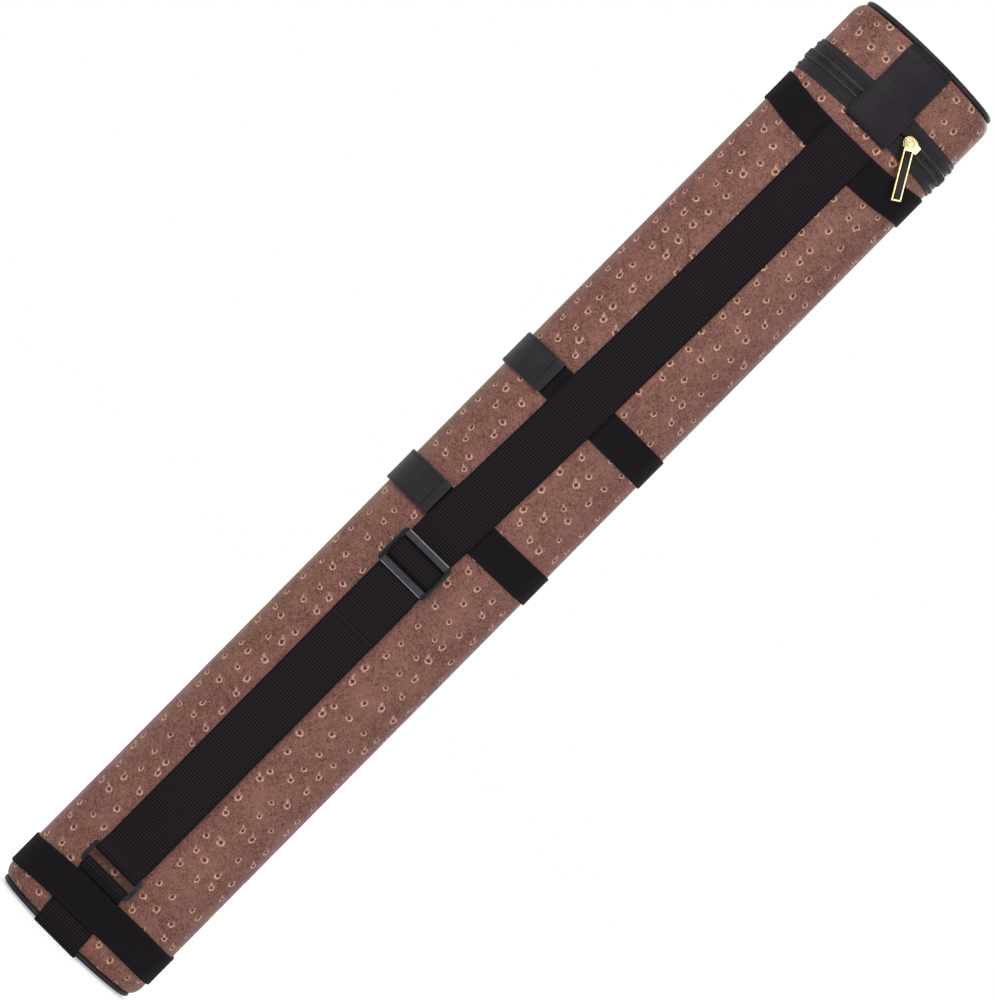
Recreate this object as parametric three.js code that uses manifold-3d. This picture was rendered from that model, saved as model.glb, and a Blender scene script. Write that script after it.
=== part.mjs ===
// Oval hard case for two cues: a long body with tubes inside, and a short lid on a sewn hinge.
// It stands on its base. The carrying strap is on the back, towards +Y, and the handle and
// the pockets are on the front, towards -Y. Lengths are in millimetres.
import * as THREE from "three";
import { mergeVertices } from "three/addons/utils/BufferGeometryUtils.js";
import Module from "manifold-3d";

const wasm = await Module();
wasm.setup();

const degree = Math.PI / 180;
const halfTurn = Math.PI;
const fullTurn = 2 * Math.PI;

// Air between pieces that touch on the real case, and how far a cutter runs past what it cuts.
const clearance = 0.3;
const overrun = 5;

// The section: two tight end arcs and two wide arcs, front and back.
const oval = { halfWidth: 63, halfDepth: 43, endRadius: 32 };
const ovalSteps = { end: 7, wide: 8 };

// The whole height, and how far below the top the lid parts from the body.
const level = { top: 857, lidHeight: 55.7, splitGap: 0.8 };
const split = level.top - level.lidHeight;
const wall = { cover: 1, shell: 2.5, floor: 4 };

// The covers round in towards the piping at both ends.
const rounding = { inset: 3.6, height: 9 };
const roundingTurn = 65 * degree;
const roundingSteps = 2;
const basePiping = { radius: 2, reach: 3.5 };
const lidPiping = { radius: 2.2, reach: 3.7 };
const endPanel = { thickness: 2.5 };
const pipingSteps = 7;

const webbing = { width: 38, thickness: 1.4 };
const band = { width: 25.5, thickness: 1.3, bevel: 0.4 };
const bandHeight = { bottom: 29.6, lowerMiddle: 400.6, upperMiddle: 514.4, belowSplit: 30.8 };
const bandBow = { bottom: 5.2, top: -7.8 };
const bandTilt = { bottom: 2.1, lowerMiddle: 1, upperMiddle: 0.8 };

// Leatherette tabs that cover the ends of the two middle bands on one side.
const tab = { width: 27, thickness: 1.1, fold: 1.2, foldLength: 9 };
const tabEnd = { lower: 27, upper: 30, start: 21 };

// Zipper round the mouth.
const zipper = { width: 27, tape: 0.7, coilWidth: 7.4, coil: 1.1, pitch: 3.2, bite: 0.8, mesh: 0.5 };
const fold = { rise: 0.9, halfWidth: 1.5, place: 9.6 };
const hingePanel = { centre: -1.2, width: 36.8, below: 15.9, above: 50.5, thickness: 1.2, ramp: 3 };
const slider = { centre: -30, length: 14.3, width: 9.4, nose: 6.4, plate: 1.3, lift: 0.6, flange: 0.7 };
const crown = { postRadius: 1.6, headRadius: 3.1, head: 0.8 };
const pull = { length: 41, width: 7.4, eyeRadius: 4.4, thickness: 1.8 };
const inset = { width: 4.4, length: 29, thickness: 0.5, start: 6.6, cornerRadius: 0.6 };
const pullSwing = 33 * degree;
const pullCornerShare = 0.4;
const noseCornerShare = 0.4;
const plateBevelShare = 0.3;
const toothMargin = 2 * degree;
const crownSteps = 10;

// The carrying strap, its ring and its adjuster, on the back.
const strap = { belowSplit: 26, foot: 8.7, head: 0.5, ramp: 4, rampLead: 1.5 };
const ring = { barRadius: 2, low: 55.6, high: 69.2, play: 0.5, sideWidth: 4, bevel: 1.2, cornerRadius: 0.8 };
const ringFlat = { margin: 9.5, blend: 4.5 };
const upperRunShares = [0.25, 0.5, 0.75];
const baseFlat = { low: 4, high: 14 };
const keeper = { underLength: 78, tuck: 49.5 };
const strapTuck = 80;
const adjuster = { belowBand: 42.9, play: 0.55, height: 30.2, bar: 5.8, middleBar: 4.4, side: 3.2 };
const adjusterFrame = { thickness: 2.3, cornerRadius: 4, slotRadius: 0.8, bevel: 0.6 };
const tail = { length: 61.7, flatLow: 23.7, flatHigh: 16.7, rampStart: 8, rampEnd: 2.9 };
const webbingSteps = 4;
const rollSteps = 6;

// The rack of tubes inside, closed at the foot: each tube's place from the middle of the section.
const tubeWall = 1.5;
const tubeFloor = 2;
const buttTube = { radius: 18, x: 19.5, y: -16.5 };
const innerShaftTube = { radius: 12, x: 13.5, y: 16 };
const outerShaftTube = { radius: 12, x: 44.5, y: 3 };
const tubeSteps = 16;
const rack = { mouthPlate: 5, mouthDepth: 11.3, basePad: 6, cradle: 14 };
const cradleShares = [0.25, 0.65];
const collar = { thickness: 1.4, rise: 7.7, inset: 0.8 };
const lidPad = { thickness: 8 };

// Padded handle on the front, between the middle bands.
const handle = { width: 28, thickness: 9, rise: 31.3, anchorThickness: 2.5, anchorLength: 26, endInset: 3.5 };
const handleRiseShares = [0, 0.3, 0.68, 0.94, 1, 0.94, 0.68, 0.3, 0];
const handleLengthShares = [-1, -0.96, -0.8, -0.46, 0, 0.46, 0.8, 0.96, 1];
const handleCornerShare = 0.7;

// Two zipped pockets on the front.
const pocket = { width: 84, depth: 20, wall: 2, cornerRadius: 12, bevel: 4, belowSplit: 59.3 };
const lowerPocket = { low: 54, high: 378 };
const upperPocket = { low: 536, high: split - pocket.belowSplit };
const pocketZipper = { place: 22, tapeWidth: 22, coilWidth: 5, coil: 1.1, endMargin: 16, cornerRadius: 3 };
const pocketSlider = { width: 8, length: 11, plate: 1.2, lift: 0.6, endGap: 14 };
const pocketPull = { length: 26, width: 5, eyeRadius: 3.4, thickness: 1.4 };

const finish = {
  vinyl: { color: 0x7a5348, roughness: 0.45, metalness: 0 },
  leatherette: { color: 0x2b292e, roughness: 0.55, metalness: 0 },
  webbing: { color: 0x1c1a1d, roughness: 0.85, metalness: 0 },
  shell: { color: 0x3a3a3a, roughness: 0.6, metalness: 0 },
  foam: { color: 0x232326, roughness: 0.95, metalness: 0 },
  tube: { color: 0x2e2e30, roughness: 0.5, metalness: 0 },
  plastic: { color: 0x36363a, roughness: 0.4, metalness: 0 },
  coil: { color: 0x1f1f22, roughness: 0.5, metalness: 0 },
  gold: { color: 0xd9b24c, roughness: 0.25, metalness: 1 },
  enamel: { color: 0x151515, roughness: 0.3, metalness: 0 },
};

// The wide arcs meet the end arcs where their normals agree.
const endCentre = oval.halfWidth - oval.endRadius;
const wideRadius =
  (endCentre ** 2 + oval.halfDepth ** 2 - oval.endRadius ** 2) / (2 * (oval.halfDepth - oval.endRadius));
const wideCentre = wideRadius - oval.halfDepth;
const joinAngle = Math.atan2(wideCentre, endCentre);

// Distances out from the vinyl's surface.
const shellOuter = -wall.cover - clearance;
const shellInner = shellOuter - wall.shell;
const linerOuter = shellInner - clearance;
const bandOuter = clearance + band.thickness;
const tapeOuter = clearance + zipper.tape;
const coilInner = tapeOuter + clearance;
const coilOuter = coilInner + zipper.coil;
const strapMiddle = clearance + webbing.thickness / 2;
const layer = webbing.thickness + clearance;

// Heights that follow from the sizes above.
const baseLow = webbing.thickness + clearance;
const baseShellLow = baseLow + 2 * basePiping.radius + clearance;
const lidShellHigh = level.top - 2 * lidPiping.radius - clearance;
const topBandHeight = split - bandHeight.belowSplit;
const strapTop = split - strap.belowSplit;
const adjusterCentre = bandHeight.lowerMiddle - adjuster.belowBand;
const tailLow = adjusterCentre - tail.length;
const splitLow = split - level.splitGap / 2;
const splitHigh = split + level.splitGap / 2;
const floorHigh = baseShellLow + wall.floor;
const mouthPlateHigh = split - rack.mouthDepth;
const mouthPlateLow = mouthPlateHigh - rack.mouthPlate;
const tubeLow = floorHigh + clearance + rack.basePad + clearance;
const tubeHigh = mouthPlateLow - clearance;

// A closed mesh from points and triangles, turned face outwards.
function closedMesh(points, index) {
  let volume = 0;
  for (let i = 0; i < index.length; i += 3) {
    const [a, b, c] = [points[index[i]], points[index[i + 1]], points[index[i + 2]]];
    volume += a.dot(new THREE.Vector3().crossVectors(b, c));
  }
  const turned = volume < 0 ? [...index].reverse() : index;
  const geometry = new THREE.BufferGeometry().setFromPoints(points);
  geometry.setIndex(turned);
  return geometry;
}

// A profile carried through a row of places. Each place maps a point of the profile into space.
// A strip's profile is paired: its first half runs along one face and its second half back along the other.
function sweep(outline, places, closed = false, paired = false) {
  const clockwise = THREE.ShapeUtils.isClockWise(outline.map(([a, b]) => new THREE.Vector2(a, b)));
  const profile = clockwise ? [...outline].reverse() : outline;
  const count = profile.length;
  const points = places.flatMap((place) => profile.map(([a, b]) => place(a, b)));
  const index = [];
  const spans = closed ? places.length : places.length - 1;
  for (let s = 0; s < spans; s++) {
    const near = s * count;
    const far = ((s + 1) % places.length) * count;
    for (let i = 0; i < count; i++) {
      const j = (i + 1) % count;
      index.push(near + i, far + i, near + j, near + j, far + i, far + j);
    }
  }
  if (!closed) {
    const last = (places.length - 1) * count;
    for (const [p, q, r] of paired ? pairedFaces(count) : shapeFaces(profile)) {
      index.push(p, q, r, last + r, last + q, last + p);
    }
  }
  return closedMesh(points, index);
}

function shapeFaces(profile) {
  const contour = profile.map(([a, b]) => new THREE.Vector2(a, b));
  return THREE.ShapeUtils.triangulateShape(contour, []);
}

// The end faces of a strip, from station to station along it.
function pairedFaces(count) {
  return Array.from({ length: count / 2 - 1 }, (_, k) => {
    const across = count - 1 - k;
    return [
      [k, k + 1, across],
      [k + 1, across - 1, across],
    ];
  }).flat();
}

// A point on the oval: its normal's angle from +X, and its distance out from the surface.
function onOval(angle, out, z) {
  const turned = Math.atan2(Math.sin(angle), Math.cos(angle));
  const size = Math.abs(turned);
  const atEnd = size <= joinAngle || size >= halfTurn - joinAngle;
  const radius = (atEnd ? oval.endRadius : wideRadius) + out;
  const centreX = atEnd ? Math.sign(Math.cos(turned)) * endCentre : 0;
  const centreY = atEnd ? 0 : -Math.sign(turned) * wideCentre;
  return new THREE.Vector3(centreX + radius * Math.cos(angle), centreY + radius * Math.sin(angle), z);
}

// The normal's angle where the back of the oval stands at a given x.
function backAngle(x) {
  return halfTurn / 2 - Math.asin(x / wideRadius);
}

// The normal's angle where the front of the oval stands at a given x.
function frontAngle(x) {
  return -backAngle(x);
}

// The angles of the oval's facets, all round, with any others that a piece needs.
function ringAngles(extra = []) {
  const corners = [-joinAngle, joinAngle, halfTurn - joinAngle, halfTurn + joinAngle, fullTurn - joinAngle];
  const counts = [ovalSteps.end, ovalSteps.wide, ovalSteps.end, ovalSteps.wide];
  const angles = counts.flatMap((steps, k) =>
    Array.from({ length: steps }, (_, i) => corners[k] + ((corners[k + 1] - corners[k]) * i) / steps),
  );
  return [...angles, ...extra].sort((a, b) => a - b);
}

// The facets' angles between two limits, with the limits themselves.
function arcAngles(from, to) {
  const facets = ringAngles();
  const all = [-fullTurn, 0, fullTurn].flatMap((turn) => facets.map((angle) => angle + turn));
  const least = degree;
  const inside = all.filter((angle) => angle > from + least && angle < to - least);
  return [from, ...inside.sort((a, b) => a - b), to];
}

// A profile of distance out and height, swept along the oval.
function alongOval(outline, angles, closed, shift = () => [0, 0]) {
  const places = angles.map((angle) => {
    const [outShift, rise] = shift(angle);
    return (out, z) => onOval(angle, out + outShift, z + rise);
  });
  return sweep(outline, places, closed);
}

function roundOval(outline, shift) {
  return alongOval(outline, ringAngles(), true, shift);
}

// A solid closed by flat ends: its rings run from the middle of the first end to that of the last.
function stack(rings) {
  const angles = ringAngles();
  const count = angles.length;
  const points = rings.flatMap(([out, z]) => angles.map((angle) => onOval(angle, out, z)));
  const index = [];
  for (let r = 0; r + 1 < rings.length; r++) {
    for (let i = 0; i < count; i++) {
      const j = (i + 1) % count;
      const low = r * count;
      const high = low + count;
      index.push(low + i, low + j, high + i, high + i, low + j, high + j);
    }
  }
  const first = points.length;
  const last = (rings.length - 1) * count;
  points.push(new THREE.Vector3(0, 0, rings[0][1]), new THREE.Vector3(0, 0, rings.at(-1)[1]));
  for (let i = 0; i < count; i++) {
    const j = (i + 1) % count;
    index.push(first, j, i, first + 1, last + i, last + j);
  }
  return closedMesh(points, index);
}

// The line of a cover as it rounds in at one end, from the straight side to the piping.
function endCurve(endHeight, towards, inward) {
  return Array.from({ length: roundingSteps + 1 }, (_, k) => {
    const turn = (roundingTurn * k) / roundingSteps;
    const insetShare = (1 - Math.cos(turn)) / (1 - Math.cos(roundingTurn));
    const heightShare = 1 - Math.sin(turn) / Math.sin(roundingTurn);
    return [-rounding.inset * insetShare - inward, endHeight + towards * rounding.height * heightShare];
  });
}

// The outline of a strip of even thickness that follows a path of points.
function stripOutline(path, thickness) {
  const offset = (side) =>
    path.map(([a, b], i) => {
      const before = path[Math.max(i - 1, 0)];
      const after = path[Math.min(i + 1, path.length - 1)];
      const into = new THREE.Vector2(a - before[0], b - before[1]).normalize();
      const away = new THREE.Vector2(after[0] - a, after[1] - b).normalize();
      const along = i === 0 ? away : i === path.length - 1 ? into : into.clone().add(away).normalize();
      const leg = i === 0 ? away : into;
      const reach = (side * thickness) / 2 / along.dot(leg);
      return [a - along.y * reach, b + along.x * reach];
    });
  return [...offset(1), ...offset(-1).reverse()];
}

function circleOutline(centre, radius, steps) {
  return Array.from({ length: steps }, (_, i) => {
    const angle = (fullTurn * (i + 0.5)) / steps;
    return [centre[0] + radius * Math.cos(angle), centre[1] + radius * Math.sin(angle)];
  });
}

// Points round part of a circle, for a strip that rolls round a bar.
function rollPath(centre, radius, from, to, steps) {
  return Array.from({ length: steps + 1 }, (_, i) => {
    const angle = from + ((to - from) * i) / steps;
    return [centre[0] + radius * Math.cos(angle), centre[1] + radius * Math.sin(angle)];
  });
}

function solidOf(geometry) {
  const bare = geometry.index ? geometry.toNonIndexed() : geometry.clone();
  bare.deleteAttribute("normal");
  bare.deleteAttribute("uv");
  const merged = mergeVertices(bare);
  return new wasm.Manifold(
    new wasm.Mesh({
      numProp: 3,
      vertProperties: new Float32Array(merged.attributes.position.array),
      triVerts: new Uint32Array(merged.index.array),
    }),
  );
}

function geometryOf(solid) {
  const mesh = solid.getMesh();
  const geometry = new THREE.BufferGeometry();
  geometry.setAttribute("position", new THREE.BufferAttribute(mesh.vertProperties, mesh.numProp));
  geometry.setIndex(new THREE.BufferAttribute(mesh.triVerts, 1));
  return geometry;
}

function cutFrom(geometry, cutters) {
  return geometryOf(cutters.reduce((solid, cutter) => solid.subtract(solidOf(cutter)), solidOf(geometry)));
}

function joined(geometries) {
  const [first, ...others] = geometries.map(solidOf);
  return geometryOf(others.reduce((solid, other) => solid.add(other), first));
}

// A flat outline in X and Z, given its thickness along Y from a near face.
function upright(shape, near, thickness, bevel = 0, curveSegments = 3) {
  const geometry = new THREE.ExtrudeGeometry(shape, {
    depth: thickness - 2 * bevel,
    bevelEnabled: bevel > 0,
    bevelThickness: bevel,
    bevelSize: bevel,
    bevelOffset: -bevel,
    bevelSegments: 1,
    curveSegments,
  });
  geometry.rotateX(halfTurn / 2);
  geometry.translate(0, near + thickness - bevel, 0);
  return geometry;
}

function roundedRectangle(left, right, low, high, radius) {
  const shape = new THREE.Shape();
  shape.moveTo(left + radius, low);
  shape.lineTo(right - radius, low);
  shape.absarc(right - radius, low + radius, radius, -halfTurn / 2, 0);
  shape.lineTo(right, high - radius);
  shape.absarc(right - radius, high - radius, radius, 0, halfTurn / 2);
  shape.lineTo(left + radius, high);
  shape.absarc(left + radius, high - radius, radius, halfTurn / 2, halfTurn);
  shape.lineTo(left, low + radius);
  shape.absarc(left + radius, low + radius, radius, halfTurn, 1.5 * halfTurn);
  return shape;
}

function addPiece(group, name, geometry, look) {
  const mesh = new THREE.Mesh(geometry, new THREE.MeshStandardMaterial(look));
  mesh.name = name;
  group.add(mesh);
  return mesh;
}

// A group whose Y runs straight out of the oval at an angle, and whose Z runs up.
function surfaceGroup(parent, angle, z) {
  const group = new THREE.Group();
  group.position.copy(onOval(angle, 0, z));
  group.rotation.z = angle - halfTurn / 2;
  parent.add(group);
  return group;
}

const root = new THREE.Group();
const body = new THREE.Group();
const lid = new THREE.Group();
root.add(body, lid);

// Rigid tubes, covers, end panels and piping of the body and of the lid.
function makeShells() {
  const bodyCurve = (inward) => endCurve(baseShellLow, 1, inward).reverse();
  const lidCurve = (inward) => endCurve(lidShellHigh, -1, inward);
  const bodyShell = [...bodyCurve(-shellOuter), [shellOuter, splitLow], [shellInner, splitLow]];
  addPiece(body, "case_shell", stack([...bodyShell, [shellInner, floorHigh]]), finish.shell);
  const bodyCover = [...bodyCurve(0), [0, splitLow], [-wall.cover, splitLow]];
  const bodyInside = bodyCurve(wall.cover).reverse();
  addPiece(body, "case_cover", roundOval([...bodyCover, ...bodyInside]), finish.vinyl);

  const lidInside = [
    [shellInner, lidShellHigh - wall.floor],
    [shellInner, splitHigh],
    [shellOuter, splitHigh],
  ];
  addPiece(lid, "lid_shell", stack([...lidInside, ...lidCurve(-shellOuter)]), finish.shell);
  const lidCover = [[-wall.cover, splitHigh], [0, splitHigh], ...lidCurve(0)];
  addPiece(lid, "lid_cover", roundOval([...lidCover, ...lidCurve(wall.cover).reverse()]), finish.vinyl);

  const basePipingCentre = [-basePiping.reach - basePiping.radius, baseLow + basePiping.radius];
  const baseCord = circleOutline(basePipingCentre, basePiping.radius, pipingSteps);
  addPiece(body, "base_piping", roundOval(baseCord), finish.leatherette);
  const lidPipingCentre = [-lidPiping.reach - lidPiping.radius, level.top - lidPiping.radius];
  const lidCord = circleOutline(lidPipingCentre, lidPiping.radius, pipingSteps);
  addPiece(lid, "lid_piping", roundOval(lidCord), finish.leatherette);

  const basePanelReach = basePipingCentre[0] - basePiping.radius - clearance;
  const basePanelHigh = baseShellLow - clearance;
  const basePanel = [
    [basePanelReach, basePanelHigh - endPanel.thickness],
    [basePanelReach, basePanelHigh],
  ];
  addPiece(body, "base_panel", stack(basePanel), finish.leatherette);
  const lidPanelReach = lidPipingCentre[0] - lidPiping.radius - clearance;
  const lidPanelLow = lidShellHigh + clearance;
  const lidPanel = [
    [lidPanelReach, lidPanelLow],
    [lidPanelReach, lidPanelLow + endPanel.thickness],
  ];
  addPiece(lid, "lid_end_panel", stack(lidPanel), finish.vinyl);
}

// The flat bands round the body. A band bows up or down over the back and tilts from side to side.
function bandOutline(centre, width, inner, outer) {
  const half = width / 2;
  return [
    [inner, centre - half],
    [outer - band.bevel, centre - half],
    [outer, centre - half + band.bevel],
    [outer, centre + half - band.bevel],
    [outer - band.bevel, centre + half],
    [inner, centre + half],
  ];
}

function bandShift(bow, tilt) {
  return (angle) => bow * Math.max(0, Math.sin(angle)) - tilt * Math.cos(angle);
}

function makeBands() {
  const bottomShift = bandShift(bandBow.bottom, bandTilt.bottom);
  const halfWebbing = webbing.width / 2 + 2 * clearance;
  const shoulder = 2 * webbing.thickness;
  const bumpAngles = [
    backAngle(strap.foot + halfWebbing + shoulder),
    backAngle(strap.foot + halfWebbing),
    backAngle(strap.foot - halfWebbing),
    backAngle(strap.foot - halfWebbing - shoulder),
  ];
  const overWebbing = (angle) => {
    const inside = angle > bumpAngles[1] - degree / 2 && angle < bumpAngles[2] + degree / 2;
    return [inside ? layer : 0, bottomShift(angle)];
  };
  const bottomOutline = bandOutline(bandHeight.bottom, band.width, clearance, bandOuter);
  const bottomAngles = ringAngles(bumpAngles);
  addPiece(body, "bottom_band", alongOval(bottomOutline, bottomAngles, true, overWebbing), finish.leatherette);

  const plain = (name, centre, bow, tilt) => {
    const outline = bandOutline(centre, band.width, clearance, bandOuter);
    const rise = bandShift(bow, tilt);
    addPiece(body, name, roundOval(outline, (angle) => [0, rise(angle)]), finish.leatherette);
  };
  plain("lower_middle_band", bandHeight.lowerMiddle, 0, bandTilt.lowerMiddle);
  plain("upper_middle_band", bandHeight.upperMiddle, 0, bandTilt.upperMiddle);
  plain("top_band", topBandHeight, bandBow.top, 0);

  const makeTab = (name, centre, tilt, end) => {
    const inner = bandOuter + clearance;
    const outer = inner + tab.thickness;
    const rise = bandShift(0, tilt);
    const from = frontAngle(tabEnd.start);
    const to = backAngle(end);
    const foldAngle = tab.foldLength / wideRadius;
    const angles = [...arcAngles(from, to - foldAngle), to - foldAngle + degree / 2, to];
    const foldOut = (angle) => (angle > to - foldAngle ? tab.fold : 0);
    const outline = bandOutline(centre, tab.width, inner, outer);
    const places = angles.map((angle) => (out, z) => {
      const thicker = out > inner ? foldOut(angle) : 0;
      return onOval(angle, out + thicker, z + rise(angle));
    });
    addPiece(body, name, sweep(outline, places), finish.leatherette);
  };
  makeTab("lower_band_tab", bandHeight.lowerMiddle, bandTilt.lowerMiddle, tabEnd.lower);
  makeTab("upper_band_tab", bandHeight.upperMiddle, bandTilt.upperMiddle, tabEnd.upper);
}

// The tapes, the two rows of teeth and the leatherette panel that hinges the lid.
function makeZipper() {
  const tapeEdge = zipper.width / 2;
  const half = (towards) => {
    const at = (distance) => split + towards * distance;
    return [
      [clearance, at(level.splitGap / 2)],
      [tapeOuter, at(level.splitGap / 2)],
      [tapeOuter, at(fold.place - fold.halfWidth)],
      [tapeOuter + fold.rise, at(fold.place)],
      [tapeOuter, at(fold.place + fold.halfWidth)],
      [tapeOuter, at(tapeEdge)],
      [clearance, at(tapeEdge)],
    ];
  };
  addPiece(body, "case_zipper_tape", roundOval(half(-1)), finish.webbing);
  addPiece(lid, "lid_zipper_tape", roundOval(half(1)), finish.webbing);

  const panelRight = backAngle(hingePanel.centre + hingePanel.width / 2);
  const panelLeft = backAngle(hingePanel.centre - hingePanel.width / 2);
  const first = backAngle(slider.centre) + (slider.length / 2 + 2 * clearance) / wideRadius;
  const stations = toothStations(first, fullTurn + panelRight - toothMargin);

  // Both rows follow one zigzag, which leaves an even gap between them.
  const row = (towards) => {
    const places = stations.map((angle, k) => (out, part) => {
      const seat = split + (towards * zipper.coilWidth) / 2;
      const zigzag = k % 2 === 0 ? zipper.bite : -zipper.bite;
      const tip = split + zigzag + (towards * zipper.mesh) / 2;
      return onOval(angle, out, part > 0 ? tip : seat);
    });
    const outline = [
      [coilInner, 0],
      [coilOuter - clearance, 0],
      [coilOuter, 1],
      [coilInner, 1],
    ];
    return sweep(outline, places);
  };
  addPiece(body, "case_zipper_teeth", row(-1), finish.coil);
  addPiece(lid, "lid_zipper_teeth", row(1), finish.coil);

  const under = tapeOuter + fold.rise + clearance;
  const lowTape = split - tapeEdge - clearance;
  const highTape = split + tapeEdge + clearance;
  const path = [
    [clearance, split - hingePanel.below],
    [under, lowTape],
    [under, highTape],
    [clearance, highTape + hingePanel.ramp],
    [clearance, split + hingePanel.above],
  ];
  const raised = path.map(([out, z]) => [out + hingePanel.thickness, z]);
  const panel = alongOval([...path, ...raised.reverse()], arcAngles(panelRight, panelLeft), false);
  addPiece(body, "hinge_panel", panel, finish.leatherette);
}

// The angles of the teeth's tips and roots, evenly spaced along the oval.
function toothStations(first, last) {
  const middle = (coilInner + coilOuter) / 2;
  const angles = [first];
  while (angles.at(-1) < last) {
    angles.push(angles.at(-1) + zipper.pitch / 2 / (bendRadius(angles.at(-1)) + middle));
  }
  return angles;
}

function bendRadius(angle) {
  const size = Math.abs(Math.atan2(Math.sin(angle), Math.cos(angle)));
  return size <= joinAngle || size >= halfTurn - joinAngle ? oval.endRadius : wideRadius;
}

// A post with a head on which a pull turns, standing along Y.
function crownGeometry(plateLow, plateHigh, pullThickness, x) {
  const headLow = plateHigh + pullThickness + 2 * clearance;
  const outline = [
    [0, plateLow],
    [crown.postRadius, plateLow],
    [crown.postRadius, headLow],
    [crown.headRadius, headLow],
    [crown.headRadius - clearance, headLow + crown.head],
    [0, headLow + crown.head],
  ];
  const geometry = new THREE.LatheGeometry(outline.map(([r, y]) => new THREE.Vector2(r, y)), crownSteps);
  geometry.translate(x, 0, 0);
  return geometry;
}

// A pull's outline: an eye round the origin and a straight tongue down from it.
function pullShape(size) {
  const shape = new THREE.Shape();
  const half = size.width / 2;
  const meet = Math.acos(half / size.eyeRadius);
  const corner = half * pullCornerShare;
  shape.moveTo(half, -size.length + corner);
  shape.absarc(0, 0, size.eyeRadius, -meet, halfTurn + meet);
  shape.lineTo(-half, -size.length + corner);
  shape.lineTo(-half + corner, -size.length);
  shape.lineTo(half - corner, -size.length);
  const hole = new THREE.Path();
  hole.absarc(0, 0, crown.postRadius + clearance, 0, fullTurn, true);
  shape.holes.push(hole);
  return shape;
}

// The gold slider on the mouth's zipper and its long pull. The slider hangs on the body's tape only.
function makeSlider() {
  const group = surfaceGroup(root, backAngle(slider.centre), split);
  const plateLow = coilOuter + slider.lift;
  const plateHigh = plateLow + slider.plate;
  const half = slider.length / 2;
  const wide = slider.width / 2;
  const narrow = slider.nose / 2;
  const corner = narrow * noseCornerShare;
  const shape = new THREE.Shape();
  shape.moveTo(-half + corner, -narrow);
  shape.absarc(half - wide, 0, wide, -halfTurn / 2, halfTurn / 2);
  shape.lineTo(-half + corner, narrow);
  shape.lineTo(-half, narrow - corner);
  shape.lineTo(-half, -narrow + corner);
  const plate = upright(shape, plateLow, slider.plate, slider.plate * plateBevelShare);
  const flangeHigh = -zipper.coilWidth / 2 - clearance;
  const flange = roundedRectangle(0, half - wide / 2, flangeHigh - slider.flange, flangeHigh, 0);
  const flangeLow = tapeOuter + clearance;
  const side = upright(flange, flangeLow, plateLow + slider.plate / 2 - flangeLow);
  const post = crownGeometry(plateLow + slider.plate / 2, plateHigh, pull.thickness, half - wide);
  addPiece(group, "zipper_slider", joined([plate, side, post]), finish.gold);

  const swing = new THREE.Group();
  swing.position.set(half - wide, 0, 0);
  swing.rotation.y = pullSwing;
  group.add(swing);
  const near = plateHigh + clearance;
  const blank = upright(pullShape(pull), near, pull.thickness, pull.thickness * plateBevelShare);
  const insetHigh = -inset.start;
  const insetLow = insetHigh - inset.length;
  const halfInset = inset.width / 2;
  const recess = roundedRectangle(
    -halfInset - clearance,
    halfInset + clearance,
    insetLow - clearance,
    insetHigh + clearance,
    inset.cornerRadius,
  );
  const face = near + pull.thickness;
  const recessLow = face - inset.thickness - clearance;
  const frame = cutFrom(blank, [upright(recess, recessLow, overrun)]);
  addPiece(swing, "zipper_pull", frame, finish.gold);
  const plaque = roundedRectangle(-halfInset, halfInset, insetLow, insetHigh, inset.cornerRadius);
  addPiece(swing, "zipper_pull_inset", upright(plaque, face - inset.thickness, inset.thickness), finish.enamel);
}

// Where the strap's middle runs across the back at each height.
function strapCentre(z) {
  const start = adjusterCentre + adjuster.height / 2;
  const share = Math.min(Math.max((z - start) / (strapTop - start), 0), 1);
  return strap.head + (strap.foot - strap.head) * (1 - share) ** 2;
}

// How far the webbing lies flat in place of bending to the back: under the base, and at the ring.
function flatShare(z) {
  const ringMiddle = (ring.low + ring.high) / 2;
  const nearRing = 1 - (Math.abs(z - ringMiddle) - ringFlat.margin) / ringFlat.blend;
  const nearBase = (baseFlat.high - z) / (baseFlat.high - baseFlat.low);
  return Math.min(Math.max(nearRing, nearBase, 0), 1);
}

// An outline of distance out and height, given the webbing's width across the back.
function acrossBack(outline, flatness) {
  const places = Array.from({ length: webbingSteps + 1 }, (_, i) => {
    const across = webbing.width * (i / webbingSteps - 0.5);
    return (out, z) => {
      const angle = backAngle(strapCentre(z));
      const sideways = new THREE.Vector3(Math.sin(angle), -Math.cos(angle), 0);
      const flat = onOval(angle, out, z).addScaledVector(sideways, across);
      const share = flatness(z);
      if (share === 1) return flat;
      return onOval(angle - across / wideRadius, out, z).lerp(flat, share);
    };
  });
  return sweep(outline, places, false, true);
}

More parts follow.
